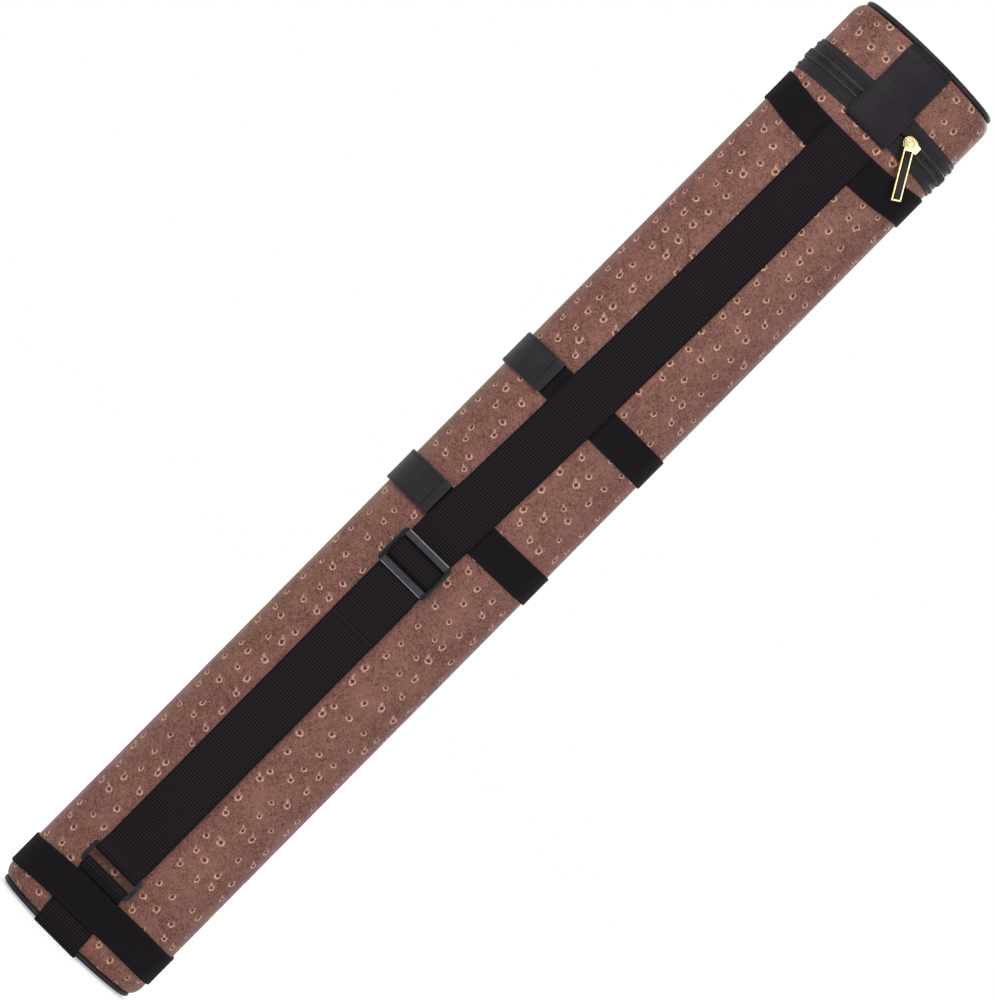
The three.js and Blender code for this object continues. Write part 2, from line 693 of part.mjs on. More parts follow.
// The webbing that holds the ring at the foot, the strap with its return run, and the ring.
function makeStrap() {
  const rollRadius = ring.barRadius + webbing.thickness / 2 + 1.5 * clearance;
  const rollCentre = strapMiddle + rollRadius;
  const outerLayer = strapMiddle + layer;
  const ringMiddle = (ring.low + ring.high) / 2;
  const blendStart = ringFlat.margin + ringFlat.blend;

  const pipingCentre = [-basePiping.reach - basePiping.radius, baseLow + basePiping.radius];
  const underRadius = basePiping.radius + clearance + webbing.thickness / 2;
  const underRoll = rollPath(pipingCentre, underRadius, -halfTurn / 2, 0, rollSteps / 2);
  const overRounding = endCurve(baseShellLow, 1, -strapMiddle - clearance).slice(1, -1).reverse();
  const keeperPath = [
    [-keeper.underLength, webbing.thickness / 2],
    ...underRoll,
    ...overRounding,
    [strapMiddle, baseShellLow + rounding.height],
    [strapMiddle, ringMiddle - blendStart],
    [strapMiddle, ringMiddle - ringFlat.margin],
    ...rollPath([rollCentre, ring.low], rollRadius, halfTurn, 0, rollSteps),
    [rollCentre + rollRadius, ring.low - ring.barRadius / 2],
    [outerLayer, keeper.tuck],
  ];
  addPiece(body, "keeper_webbing", acrossBack(stripOutline(keeperPath, webbing.thickness), flatShare), finish.webbing);

  const raised = bandOuter + clearance + webbing.thickness / 2;
  const overBand = (centre) => {
    const edge = band.width / 2 + strap.rampLead;
    return [
      [strapMiddle, centre + edge + strap.ramp],
      [raised, centre + edge],
      [raised, centre - edge],
      [strapMiddle, centre - edge - strap.ramp],
    ];
  };
  const overTop = overBand(topBandHeight + bandBow.top).slice(2);
  const overUpper = overBand(bandHeight.upperMiddle);
  const overLower = overBand(bandHeight.lowerMiddle);
  const upperRun = upperRunShares.map((share) => [
    strapMiddle,
    overTop[1][1] + (overUpper[0][1] - overTop[1][1]) * share,
  ]);
  const middleRun = [strapMiddle, (overUpper[3][1] + overLower[0][1]) / 2];
  const strapPath = [
    [raised, strapTop],
    ...overTop,
    ...upperRun,
    ...overUpper,
    middleRun,
    ...overLower,
    [strapMiddle, ringMiddle + blendStart],
    [strapMiddle, ringMiddle + ringFlat.margin],
    ...rollPath([rollCentre, ring.high], rollRadius, -halfTurn, 0, rollSteps),
    [rollCentre + rollRadius, ring.high + ring.barRadius / 2],
    [outerLayer, ringMiddle + blendStart],
    [outerLayer, strapTuck],
  ];
  addPiece(body, "strap", acrossBack(stripOutline(strapPath, webbing.thickness), flatShare), finish.webbing);

  const returnPath = [
    [outerLayer, strapTuck + clearance],
    [outerLayer, tailLow - clearance],
  ];
  const returnRun = acrossBack(stripOutline(returnPath, webbing.thickness), flatShare);
  addPiece(body, "strap_return_run", returnRun, finish.webbing);

  const group = surfaceGroup(body, backAngle(strap.foot), 0);
  const inner = webbing.width / 2 + ring.play;
  const half = inner + ring.sideWidth;
  const low = ring.low - ring.barRadius;
  const high = ring.high + ring.barRadius;
  const shape = roundedRectangle(-half, half, low, high, ring.barRadius);
  shape.holes.push(
    roundedRectangle(-inner, inner, low + 2 * ring.barRadius, high - 2 * ring.barRadius, ring.cornerRadius),
  );
  const loop = upright(shape, rollCentre - ring.barRadius, 2 * ring.barRadius, ring.bevel, 2);
  addPiece(group, "strap_ring", loop, finish.plastic);
}

// The adjuster: a frame with a middle bar, and the end of the strap that is sewn round that bar.
function makeAdjuster() {
  const underBars = strapMiddle + layer;
  const near = underBars + webbing.thickness / 2 + clearance;
  const far = near + adjusterFrame.thickness;
  const group = surfaceGroup(root, backAngle(strap.foot), 0);
  const inner = webbing.width / 2 + adjuster.play;
  const half = inner + adjuster.side;
  const halfHeight = adjuster.height / 2;
  const centre = adjusterCentre;
  const shape = roundedRectangle(-half, half, centre - halfHeight, centre + halfHeight, adjusterFrame.cornerRadius);
  const windowNear = adjuster.middleBar / 2;
  const windowFar = halfHeight - adjuster.bar;
  const slot = (low, high) => roundedRectangle(-inner, inner, low, high, adjusterFrame.slotRadius);
  shape.holes.push(slot(centre + windowNear, centre + windowFar), slot(centre - windowFar, centre - windowNear));
  const frame = upright(shape, near, adjusterFrame.thickness, adjusterFrame.bevel, 2);
  addPiece(group, "adjuster_frame", frame, finish.plastic);

  const overBar = far + clearance + webbing.thickness / 2;
  const humpPath = [
    [underBars, centre + halfHeight - clearance],
    [underBars, centre + tail.rampStart],
    [overBar, centre + tail.rampEnd],
    [overBar, centre - tail.rampEnd],
    [underBars, centre - tail.rampStart],
    [underBars, centre - tail.flatHigh],
    [underBars, centre - tail.flatLow],
    [underBars, tailLow],
  ];
  const flatness = (z) => {
    const above = z - (centre - tail.flatLow);
    return Math.min(Math.max(above / (tail.flatLow - tail.flatHigh), 0), 1);
  };
  const hump = acrossBack(stripOutline(humpPath, webbing.thickness), flatness);
  addPiece(root, "adjuster_webbing", hump, finish.webbing);
}

function cylinderAt(x, y, low, high, radius, steps) {
  const geometry = new THREE.CylinderGeometry(radius, radius, high - low, steps);
  geometry.rotateX(halfTurn / 2);
  geometry.translate(x, y, (low + high) / 2);
  return geometry;
}

// The tubes for the cues, and the foam plates that hold them in the shell.
function makeRack() {
  const tubes = [
    ["butt_tube_right", buttTube, 1],
    ["butt_tube_left", buttTube, -1],
    ["inner_shaft_tube_right", innerShaftTube, 1],
    ["inner_shaft_tube_left", innerShaftTube, -1],
    ["outer_shaft_tube_right", outerShaftTube, 1],
    ["outer_shaft_tube_left", outerShaftTube, -1],
  ];
  const holes = (low, high, grow) =>
    tubes.map(([, tube, side]) =>
      cylinderAt(side * tube.x, tube.y, low - overrun, high + overrun, tube.radius + grow, tubeSteps),
    );
  for (const [name, tube, side] of tubes) {
    const inner = tube.radius - tubeWall;
    const outline = [
      [0, tubeLow],
      [tube.radius, tubeLow],
      [tube.radius, tubeHigh],
      [inner, tubeHigh],
      [inner, tubeLow + tubeFloor],
      [0, tubeLow + tubeFloor],
    ];
    const geometry = new THREE.LatheGeometry(outline.map(([r, y]) => new THREE.Vector2(r, y)), tubeSteps);
    geometry.rotateX(halfTurn / 2);
    const mesh = addPiece(body, name, geometry, finish.tube);
    mesh.position.set(side * tube.x, tube.y, 0);
  }
  const plate = (low, high) =>
    stack([
      [linerOuter, low],
      [linerOuter, high],
    ]);
  const padLow = floorHigh + clearance;
  addPiece(body, "base_pad", plate(padLow, padLow + rack.basePad), finish.foam);
  const cradle = (name, share) => {
    const low = tubeLow + (tubeHigh - tubeLow) * share;
    const high = low + rack.cradle;
    addPiece(body, name, cutFrom(plate(low, high), holes(low, high, clearance)), finish.foam);
  };
  cradle("lower_cradle", cradleShares[0]);
  cradle("upper_cradle", cradleShares[1]);
  const mouth = cutFrom(plate(mouthPlateLow, mouthPlateHigh), holes(mouthPlateLow, mouthPlateHigh, -tubeWall));
  addPiece(body, "mouth_plate", mouth, finish.foam);

  const collarOuter = shellInner - collar.inset;
  const collarOutline = [
    [collarOuter - collar.thickness, mouthPlateHigh + clearance],
    [collarOuter, mouthPlateHigh + clearance],
    [collarOuter, split + collar.rise],
    [collarOuter - collar.thickness, split + collar.rise],
  ];
  addPiece(body, "mouth_collar", roundOval(collarOutline), finish.leatherette);
  const padHigh = lidShellHigh - wall.floor - clearance;
  addPiece(lid, "lid_pad", plate(padHigh - lidPad.thickness, padHigh), finish.foam);
}

// The padded handle between the middle bands, and the two patches that carry it.
function makeHandle() {
  const patchInner = bandOuter + clearance;
  const patchOuter = patchInner + handle.anchorThickness;
  const halfAngle = handle.width / 2 / wideRadius;
  const middle = (bandHeight.lowerMiddle + bandHeight.upperMiddle) / 2;
  const halfSpan = (bandHeight.upperMiddle - bandHeight.lowerMiddle) / 2 - handle.endInset;
  const patch = (name, centre) => {
    const outline = bandOutline(centre, handle.anchorLength, patchInner, patchOuter);
    const angles = arcAngles(-halfTurn / 2 - halfAngle, -halfTurn / 2 + halfAngle);
    addPiece(body, name, alongOval(outline, angles, false), finish.leatherette);
  };
  patch("handle_patch_lower", bandHeight.lowerMiddle);
  patch("handle_patch_upper", bandHeight.upperMiddle);

  const foot = patchOuter + clearance;
  const path = handleLengthShares.map((along, i) => [
    foot + handle.rise * handleRiseShares[i],
    middle + halfSpan * along,
  ]);
  const halfWidth = handle.width / 2;
  const halfThickness = handle.thickness / 2;
  const corner = halfThickness * handleCornerShare;
  const section = roundedRectangle(-halfWidth, halfWidth, -halfThickness, halfThickness, corner);
  const outline = section.getPoints(2).map((point) => [point.x, point.y]);
  const places = path.map(([out, z], i) => {
    const before = path[Math.max(i - 1, 0)];
    const after = path[Math.min(i + 1, path.length - 1)];
    const along = new THREE.Vector2(after[0] - before[0], after[1] - before[1]).normalize();
    if (i === 0) along.set(1, 0);
    if (i === path.length - 1) along.set(-1, 0);
    return (a, b) => onOval(-halfTurn / 2, out - b * along.y, z + b * along.x).add(new THREE.Vector3(a, 0, 0));
  });
  addPiece(body, "handle_grip", sweep(outline.slice(0, -1), places), finish.leatherette);
}

// A pocket on the front: a thin shell that is open towards the case, with a straight zipper.
function makePocket(name, size) {
  const half = pocket.width / 2;
  const outside = roundedRectangle(-half, half, size.low, size.high, pocket.cornerRadius);
  const wallShape = roundedRectangle(
    -half + pocket.wall,
    half - pocket.wall,
    size.low + pocket.wall,
    size.high - pocket.wall,
    pocket.cornerRadius - pocket.wall,
  );
  const behind = oval.halfDepth / 2;
  const toFront = (geometry) => geometry.rotateZ(halfTurn).translate(0, -oval.halfDepth, 0);
  const outer = toFront(upright(outside, -behind, behind + pocket.depth, pocket.bevel));
  const inner = toFront(
    upright(wallShape, -behind - overrun, behind + overrun + pocket.depth - pocket.wall, pocket.bevel),
  );
  const caseSide = stack([
    [clearance, size.low - overrun],
    [clearance, size.high + overrun],
  ]);
  addPiece(body, name + "_pocket", cutFrom(outer, [inner, caseSide]), finish.vinyl);

  const group = surfaceGroup(body, -halfTurn / 2, 0);
  const tapeNear = pocket.depth + clearance;
  const tapeFar = tapeNear + zipper.tape;
  const low = size.low + pocketZipper.endMargin;
  const high = size.high - pocketZipper.endMargin;
  const left = pocketZipper.place - pocketZipper.tapeWidth / 2;
  const right = pocketZipper.place + pocketZipper.tapeWidth / 2;
  const tape = upright(roundedRectangle(left, right, low, high, pocketZipper.cornerRadius), tapeNear, zipper.tape);
  addPiece(group, name + "_pocket_tape", tape, finish.webbing);
  const coilNear = tapeFar + clearance;
  const coilFar = coilNear + pocketZipper.coil;
  const coilHalf = pocketZipper.coilWidth / 2;
  const coilShape = roundedRectangle(
    pocketZipper.place - coilHalf,
    pocketZipper.place + coilHalf,
    low + pocketZipper.coilWidth,
    high - pocketZipper.coilWidth,
    0,
  );
  const bevel = pocketZipper.coil * plateBevelShare;
  addPiece(group, name + "_pocket_coil", upright(coilShape, coilNear, pocketZipper.coil, bevel), finish.coil);

  // The slider straddles the coil, and its pull hangs from it.
  const carriage = new THREE.Group();
  carriage.position.set(pocketZipper.place, 0, high - pocketSlider.endGap);
  group.add(carriage);
  const plateLow = coilFar + pocketSlider.lift;
  const plateHigh = plateLow + pocketSlider.plate;
  const halfWidth = pocketSlider.width / 2;
  const halfLength = pocketSlider.length / 2;
  const plateShape = roundedRectangle(-halfWidth, halfWidth, -halfLength, halfLength, halfWidth / 2);
  const plate = upright(plateShape, plateLow, pocketSlider.plate);
  const flangeNear = tapeFar + clearance;
  const flange = (side) => {
    const middle = side * (coilHalf + clearance + slider.flange / 2);
    const strip = roundedRectangle(
      middle - slider.flange / 2,
      middle + slider.flange / 2,
      -halfLength / 2,
      halfLength / 2,
      0,
    );
    return upright(strip, flangeNear, plateLow + pocketSlider.plate / 2 - flangeNear);
  };
  const post = crownGeometry(plateLow + pocketSlider.plate / 2, plateHigh, pocketPull.thickness, 0);
  addPiece(carriage, name + "_pocket_slider", joined([plate, flange(1), flange(-1), post]), finish.gold);
  const tongue = upright(pullShape(pocketPull), plateHigh + clearance, pocketPull.thickness);
  addPiece(carriage, name + "_pocket_pull", tongue, finish.gold);
}

makeShells();
makeBands();
makeZipper();
makeSlider();
makeStrap();
makeAdjuster();
makeRack();
makeHandle();
makePocket("lower", lowerPocket);
makePocket("upper", upperPocket);

// The origin is under the middle of the whole case's box.
const bounds = new THREE.Box3().setFromObject(root);
const middle = bounds.getCenter(new THREE.Vector3());
root.position.set(-middle.x, -middle.y, -bounds.min.z);

export default root;
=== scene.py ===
"""An oval hard case for pool cues, dressed: covers, bands, zippers, strap, handle, pockets and inside rack.

The case stands on its base. Up the case is +Z, the strap is on the back, towards +Y, and the handle and the
pockets are on the front. Flat pieces are cut and sewn flat, and then laid on the case by a lay.
"""

import bisect
import functools
import logging
import math
from collections.abc import Callable, Iterable, Sequence
from dataclasses import dataclass, field
from enum import Enum

import bmesh
import bpy
from mathutils import Matrix, Vector


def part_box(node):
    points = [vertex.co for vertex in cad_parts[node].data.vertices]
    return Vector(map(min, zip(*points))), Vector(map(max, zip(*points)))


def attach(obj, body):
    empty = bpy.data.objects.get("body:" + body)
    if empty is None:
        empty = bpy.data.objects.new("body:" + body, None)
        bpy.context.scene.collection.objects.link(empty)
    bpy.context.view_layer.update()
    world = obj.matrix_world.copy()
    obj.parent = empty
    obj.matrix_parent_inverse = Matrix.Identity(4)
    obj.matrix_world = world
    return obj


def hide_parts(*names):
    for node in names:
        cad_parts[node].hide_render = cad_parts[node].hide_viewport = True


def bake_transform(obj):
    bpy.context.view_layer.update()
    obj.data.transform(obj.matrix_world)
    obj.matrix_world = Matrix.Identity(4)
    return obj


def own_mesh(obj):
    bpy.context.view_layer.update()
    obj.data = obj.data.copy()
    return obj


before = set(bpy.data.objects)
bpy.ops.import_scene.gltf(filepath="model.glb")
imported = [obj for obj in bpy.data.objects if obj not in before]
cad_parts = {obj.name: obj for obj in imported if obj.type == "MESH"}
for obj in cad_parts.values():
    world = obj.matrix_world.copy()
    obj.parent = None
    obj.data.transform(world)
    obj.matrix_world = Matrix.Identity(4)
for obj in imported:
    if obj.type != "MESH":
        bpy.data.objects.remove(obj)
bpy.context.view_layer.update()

log = logging.getLogger("cue_case")

MM = 0.001
HAIR = 1e-6
SPLIT = 801.3 * MM
LOWER_BAND = 400.6 * MM
UPPER_BAND = 514.4 * MM
MOUTH_SLIDER_X = -30 * MM
SMOOTH_ANGLE = math.radians(50)
SHARP_ANGLE = math.radians(40)
SQUARE_ANGLE = 1.0

Lay = Callable[[Vector], Vector]
Rise = Callable[[float], float]
Unfold = Callable[[Vector, Vector], Sequence[float]]
Pair = tuple[float, float]
Triple = tuple[float, float, float]
Colour = Triple


class Slot(Enum):
    """The record's material slots."""

    VINYL = "ostrich_vinyl"
    LEATHERETTE = "leatherette"
    WEBBING = "webbing"
    SHELL = "shell_board"
    FOAM = "foam"
    TUBE = "tube_plastic"
    TAPE = "zipper_tape"
    COIL = "zipper_coil"
    BUCKLE = "buckle_plastic"
    GOLD = "gold_metal"
    INLAY = "black_enamel"


def srgb(*display: float) -> Colour:
    """Turns display values, 0 to 255, into the shader's linear values."""
    shares = [value / 255 for value in display]
    return tuple(low / 12.92 if low <= 0.04045 else ((low + 0.055) / 1.055) ** 2.4 for low in shares)


def smooth(share: float) -> float:
    """Returns a smooth step, 0 under 0 and 1 over 1."""
    share = min(max(share, 0.0), 1.0)
    return share * share * (3 - 2 * share)


def middle_of(node: str) -> Vector:
    """Returns the middle of a CAD node's box."""
    low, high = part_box(node)
    return (low + high) / 2


@dataclass(frozen=True)
class Section:
    """The case's oval section, round which the outer pieces are laid.

    A place on it is a distance along the vinyl from the middle of the back, positive towards +X, and a
    distance out from the vinyl.
    """

    centre: Vector
    half_width: float = 63 * MM
    half_depth: float = 43 * MM
    end_radius: float = 32 * MM

    @functools.cached_property
    def end_centre(self) -> float:
        """How far the end arcs' centres are from the middle."""
        return self.half_width - self.end_radius

    @functools.cached_property
    def wide_radius(self) -> float:
        """The radius of the arcs of the back and the front."""
        rise = self.half_depth - self.end_radius
        return (self.end_centre**2 + self.half_depth**2 - self.end_radius**2) / (2 * rise)

    @functools.cached_property
    def wide_centre(self) -> float:
        """How far the wide arcs' centres are past the middle."""
        return self.wide_radius - self.half_depth

    @functools.cached_property
    def join(self) -> float:
        """The normal's angle from +X where an end arc meets a wide arc."""
        return math.atan2(self.wide_centre, self.end_centre)

    @functools.cached_property
    def wide(self) -> float:
        """Half the length of a wide arc."""
        return self.wide_radius * (math.pi / 2 - self.join)

    @functools.cached_property
    def end(self) -> float:
        """The length of an end arc."""
        return 2 * self.end_radius * self.join

    @functools.cached_property
    def girth(self) -> float:
        """The length all round."""
        return 4 * self.wide + 2 * self.end

    def back(self, x: float) -> float:
        """Returns the distance along at which the back stands at x."""
        return self.wide_radius * math.asin(x / self.wide_radius)

    def front(self, x: float) -> float:
        """Returns the distance along at which the front stands at x."""
        return self.girth / 2 - self.back(x)

    def point(self, along: float, out: float, height: float) -> Vector:
        """Finds a point by its place on the oval.

        Args:
            along: The distance along.
            out: The distance out.
            height: The height.

        Returns:
            The point.
        """
        start = (along + self.wide) % self.girth - self.wide
        if start <= self.wide:
            angle, radius = start / self.wide_radius, self.wide_radius + out
            x, y = radius * math.sin(angle), radius * math.cos(angle) - self.wide_centre
        elif start <= self.wide + self.end:
            angle, radius = self.join - (start - self.wide) / self.end_radius, self.end_radius + out
            x, y = self.end_centre + radius * math.cos(angle), radius * math.sin(angle)
        elif start <= 3 * self.wide + self.end:
            angle, radius = (start - self.girth / 2) / self.wide_radius, self.wide_radius + out
            x, y = -radius * math.sin(angle), self.wide_centre - radius * math.cos(angle)
        else:
            angle = (start - 3 * self.wide - self.end) / self.end_radius - self.join
            radius = self.end_radius + out
            x, y = -self.end_centre - radius * math.cos(angle), radius * math.sin(angle)
        return self.centre + Vector((x, y, height))

    def outward(self, along: float) -> Vector:
        """Returns the direction straight out at a distance along."""
        return (self.point(along, MM, 0) - self.point(along, 0, 0)).normalized()

    def girdle_rise(self, bow: float, tilt: float) -> Rise:
        """Gives the line of a band round the case.

        Args:
            bow: How far it bows up over the back.
            tilt: How far it tilts from side to side.

        Returns:
            How far the band rises at each distance along.
        """

        def rise(along: float) -> float:
            """Works out the rise from the place and the direction outward."""
            aside = abs(self.point(along, 0, 0).x - self.centre.x) / self.half_width
            normal = self.outward(along)
            return bow * (1 - min(1.0, aside) ** 2.8 if normal.y > 0 else 0.0) - tilt * normal.x

        return rise


SECTION = Section(Vector((middle_of("case_cover").x, middle_of("case_cover").y, 0)))


class Route:
    """A line of distance out and height with rounded corners, measured from its start."""

    def __init__(self, corners: Sequence[Pair], radius: float, steps: int = 4) -> None:
        """Rounds the corners.

        Args:
            corners: Distance out and height of each corner, in order.
            radius: How far from a corner its rounding starts, where there is room.
            steps: Steps in each rounding.
        """
        points = [Vector(corner) for corner in corners]
        line = points[:1]
        for before, corner, after in zip(points, points[1:], points[2:]):
            legs = [side - corner for side in (before, after)]
            ends = [corner + leg.normalized() * min(radius, leg.length / 2) for leg in legs]
            for step in range(steps + 1):
                share = step / steps
                line.append(ends[0].lerp(corner, share).lerp(corner.lerp(ends[1], share), share))
        self.points, self.marks = points[:1], [0.0]
        for point in line[1:] + points[-1:]:
            gap = (point - self.points[-1]).length
            if gap > HAIR / 10:
                self.points.append(point)
                self.marks.append(self.marks[-1] + gap)
        self.length = self.marks[-1]

    def at(self, distance: float) -> Vector:
        """Returns the point at a distance from the start."""
        low = min(max(bisect.bisect_right(self.marks, distance) - 1, 0), len(self.marks) - 2)
        share = (distance - self.marks[low]) / (self.marks[low + 1] - self.marks[low])
        return self.points[low].lerp(self.points[low + 1], share)

    def normal(self, distance: float, reach: float = 0.2 * MM) -> Vector:
        """Returns the direction to the line's left at a distance from the start."""
        along = self.at(min(distance + reach, self.length)) - self.at(max(distance - reach, 0))
        return Vector((-along.y, along.x)).normalized()


class Form:
    """A piece that is cut flat, thickened, rounded at its edges and then laid in place."""

    def __init__(self) -> None:
        """Starts with no faces, and a map of the cut in metres."""
        self.bm = bmesh.new()
        self.cut = self.bm.loops.layers.uv.new("cut")

    def sheet(self, low: Pair, high: Pair, counts: tuple[int, int]) -> "Form":
        """Adds a flat rectangle.

        Args:
            low: The lower left corner.
            high: The upper right corner.
            counts: Faces along x and along y.

        Returns:
            This form.
        """
        made = bmesh.ops.create_grid(self.bm, x_segments=counts[0], y_segments=counts[1], size=0.5)["verts"]
        bmesh.ops.scale(self.bm, vec=(high[0] - low[0], high[1] - low[1], 1), verts=made)
        bmesh.ops.translate(self.bm, vec=((low[0] + high[0]) / 2, (low[1] + high[1]) / 2, 0), verts=made)
        return self

    def grid(
        self, columns: Sequence[float], rows: Sequence[float], windows: Sequence[tuple[int, int]] = ()
    ) -> "Form":
        """Adds a flat grid of faces.

        Args:
            columns: The places of its lines across.
            rows: The places of its lines up.
            windows: The columns and rows of the faces that are left open.

        Returns:
            This form.
        """
        counts = (len(columns) - 1, len(rows) - 1)
        self.sheet((0, 0), counts, counts)
        shut = [face for face in self.bm.faces if tuple(map(int, face.calc_center_median().xy)) in windows]
        bmesh.ops.delete(self.bm, geom=shut, context="FACES")
        return self.move(lambda spot: Vector((columns[round(spot.x)], rows[round(spot.y)], 0)))

    def extrude(self, faces: list[bmesh.types.BMFace], rise: float) -> None:
        """Extrudes faces along z."""
        got = bmesh.ops.extrude_face_region(self.bm, geom=faces)["geom"]
        raised = [item for item in got if isinstance(item, bmesh.types.BMVert)]
        bmesh.ops.translate(self.bm, vec=(0, 0, rise), verts=raised)

    def thicken(self, thickness: float) -> "Form":
        """Gives what is there a thickness along z, from z = 0."""
        self.extrude(self.bm.faces[:], thickness)
        return self.outward()

    def spin(self, geom: list, steps: int) -> "Form":
        """Turns points and edges all the way round the z axis."""
        turn = {"axis": (0, 0, 1), "cent": (0, 0, 0), "angle": math.tau}
        bmesh.ops.spin(self.bm, geom=geom, steps=steps, use_merge=True, **turn)
        return self.weld().outward()

    def drop_ends(self) -> "Form":
        """Takes away the faces across both ends of x, so that a ring can close there."""
        across = [face for face in self.bm.faces if abs(face.normal.x) > 0.9]
        bmesh.ops.delete(self.bm, geom=across, context="FACES")
        return self

    def edges(
        self, fold: float = -1.0, test: Callable[[Vector, Vector], bool] = lambda start, end: True
    ) -> list[bmesh.types.BMEdge]:
        """Finds edges.

        Args:
            fold: The least angle between an edge's two faces.
            test: Says of an edge's two ends whether it is wanted.

        Returns:
            The edges.
        """
        self.bm.normal_update()
        found = [edge for edge in self.bm.edges if edge.calc_face_angle(0.0) > fold]
        return [edge for edge in found if test(edge.verts[0].co, edge.verts[1].co)]

    def bevel(self, edges: list[bmesh.types.BMEdge], width: float, segments: int) -> "Form":
        """Rounds edges."""
        shape = {"affect": "EDGES", "segments": segments, "profile": 0.5, "material": -1}
        bmesh.ops.bevel(self.bm, geom=edges, offset=width, **shape)
        return self

    def round_edges(self, width: float, segments: int = 2) -> "Form":
        """Rounds the sharp edges."""
        return self.bevel(self.edges(SHARP_ANGLE), width, segments)

    def round_posts(self, radius: float, segments: int) -> "Form":
        """Rounds the four upright edges at the corners of a thickened rectangle.

        Args:
            radius: The rounding's width.
            segments: Its steps.

        Returns:
            This form.
        """
        sides = [(min(line), max(line)) for line in zip(*(vert.co for vert in self.bm.verts))]
        (left, right), (low, high), (near, far) = sides

        def is_post(start: Vector, end: Vector) -> bool:
            """Returns whether an edge stands upright at a corner."""
            inside = max(min(start.x - left, right - start.x), min(start.y - low, high - start.y))
            return inside < HAIR and abs(start.z - end.z) > (far - near) / 2

        return self.bevel(self.edges(test=is_post), radius, segments)

    def stamp(self, flat: Unfold = lambda spot, normal: spot.xy) -> "Form":
        """Writes the map of the cut.

        Args:
            flat: Gives the flat place of a point on a face with a normal; its own x and y if left out.

        Returns:
            This form.
        """
        self.bm.normal_update()
        for face in self.bm.faces:
            for loop in face.loops:
                loop[self.cut].uv = flat(loop.vert.co, face.normal)
        return self

    def move(self, change: Lay) -> "Form":
        """Moves every vertex by a function of its place."""
        for vert in self.bm.verts:
            vert.co = change(vert.co)
        return self

    def shift(self, x: float, y: float, z: float) -> "Form":
        """Moves it all by a distance."""
        bmesh.ops.translate(self.bm, vec=(x, y, z), verts=self.bm.verts)
        return self

    def weld(self, reach: float = 0.01 * MM) -> "Form":
        """Joins vertices that lie together."""
        bmesh.ops.remove_doubles(self.bm, verts=self.bm.verts, dist=reach)
        return self

    def lay(self, place: Lay, reach: float = 0.01 * MM) -> "Form":
        """Stamps the cut, lays the piece in place and closes its seams."""
        return self.stamp().move(place).weld(reach)

    def outward(self) -> "Form":
        """Turns every face outwards."""
        bmesh.ops.recalc_face_normals(self.bm, faces=self.bm.faces)
        return self

    def take(self, other: "Form", places: Iterable[Matrix] = (Matrix(),)) -> "Form":
        """Adds another form.

        Args:
            other: The form, which is used up.
            places: Where it is added.

        Returns:
            This form.
        """
        mesh = bpy.data.meshes.new("carried")
        other.bm.to_mesh(mesh)
        other.bm.free()
        for place in places:
            mesh.transform(place)
            self.bm.from_mesh(mesh)
            mesh.transform(place.inverted())
        bpy.data.meshes.remove(mesh)
        return self


def loop_of(half: Vector, around: int = 8, along: int = 5) -> Form:
    """Makes one rounded loop of a coil or one stitch, long along y, with few faces.

    Args:
        half: Its half sizes.
        around: Its faces around.
        along: Its faces along.

    Returns:
        The loop's form.
    """
    form = Form()
    bmesh.ops.create_uvsphere(form.bm, u_segments=around, v_segments=along, radius=1)
    bmesh.ops.rotate(form.bm, matrix=Matrix.Rotation(math.pi / 2, 3, "X"), verts=form.bm.verts)
    form.move(lambda spot: Vector((spot.x, math.copysign(abs(spot.y) ** 0.6, spot.y), spot.z)) * half)
    return form


def bar(half: Vector, bevel: float) -> Form:
    """Makes a block with rounded edges about the origin.

    Args:
        half: Its half sizes.
        bevel: The rounding's width.

    Returns:
        The block's form.
    """
    form = Form()
    bmesh.ops.create_cube(form.bm, size=2)
    bmesh.ops.scale(form.bm, vec=half, verts=form.bm.verts)
    return form.round_edges(bevel)


def strip(
    low: Pair, high: Pair, step: float, across: int, thickness: float, bevel: float, ring: bool = False
) -> Form:
    """Makes a flat strip with rounded long edges, which runs along x or y.

    Args:
        low: The lower left corner.
        high: The upper right corner.
        step: The length of a face along the strip's longer side.
        across: Faces across it.
        thickness: Its thickness along z.
        bevel: The rounding of its edges.
        ring: Whether its two ends meet.

    Returns:
        The strip's form.
    """
    wide, tall = high[0] - low[0], high[1] - low[1]
    steps = max(2, round(max(wide, tall) / step))
    counts = (steps, across) if wide > tall else (across, steps)
    form = Form().sheet(low, high, counts).thicken(thickness)
    return (form.drop_ends() if ring else form).round_edges(bevel)


def operator(operation: str, reflected: bool = False) -> Callable[["Sig", "Value"], "Sig"]:
    """Returns a method that adds a Math node, with its two values swapped where it is reflected."""
    return lambda mine, other: mine.book.math(operation, *((other, mine) if reflected else (mine, other)))


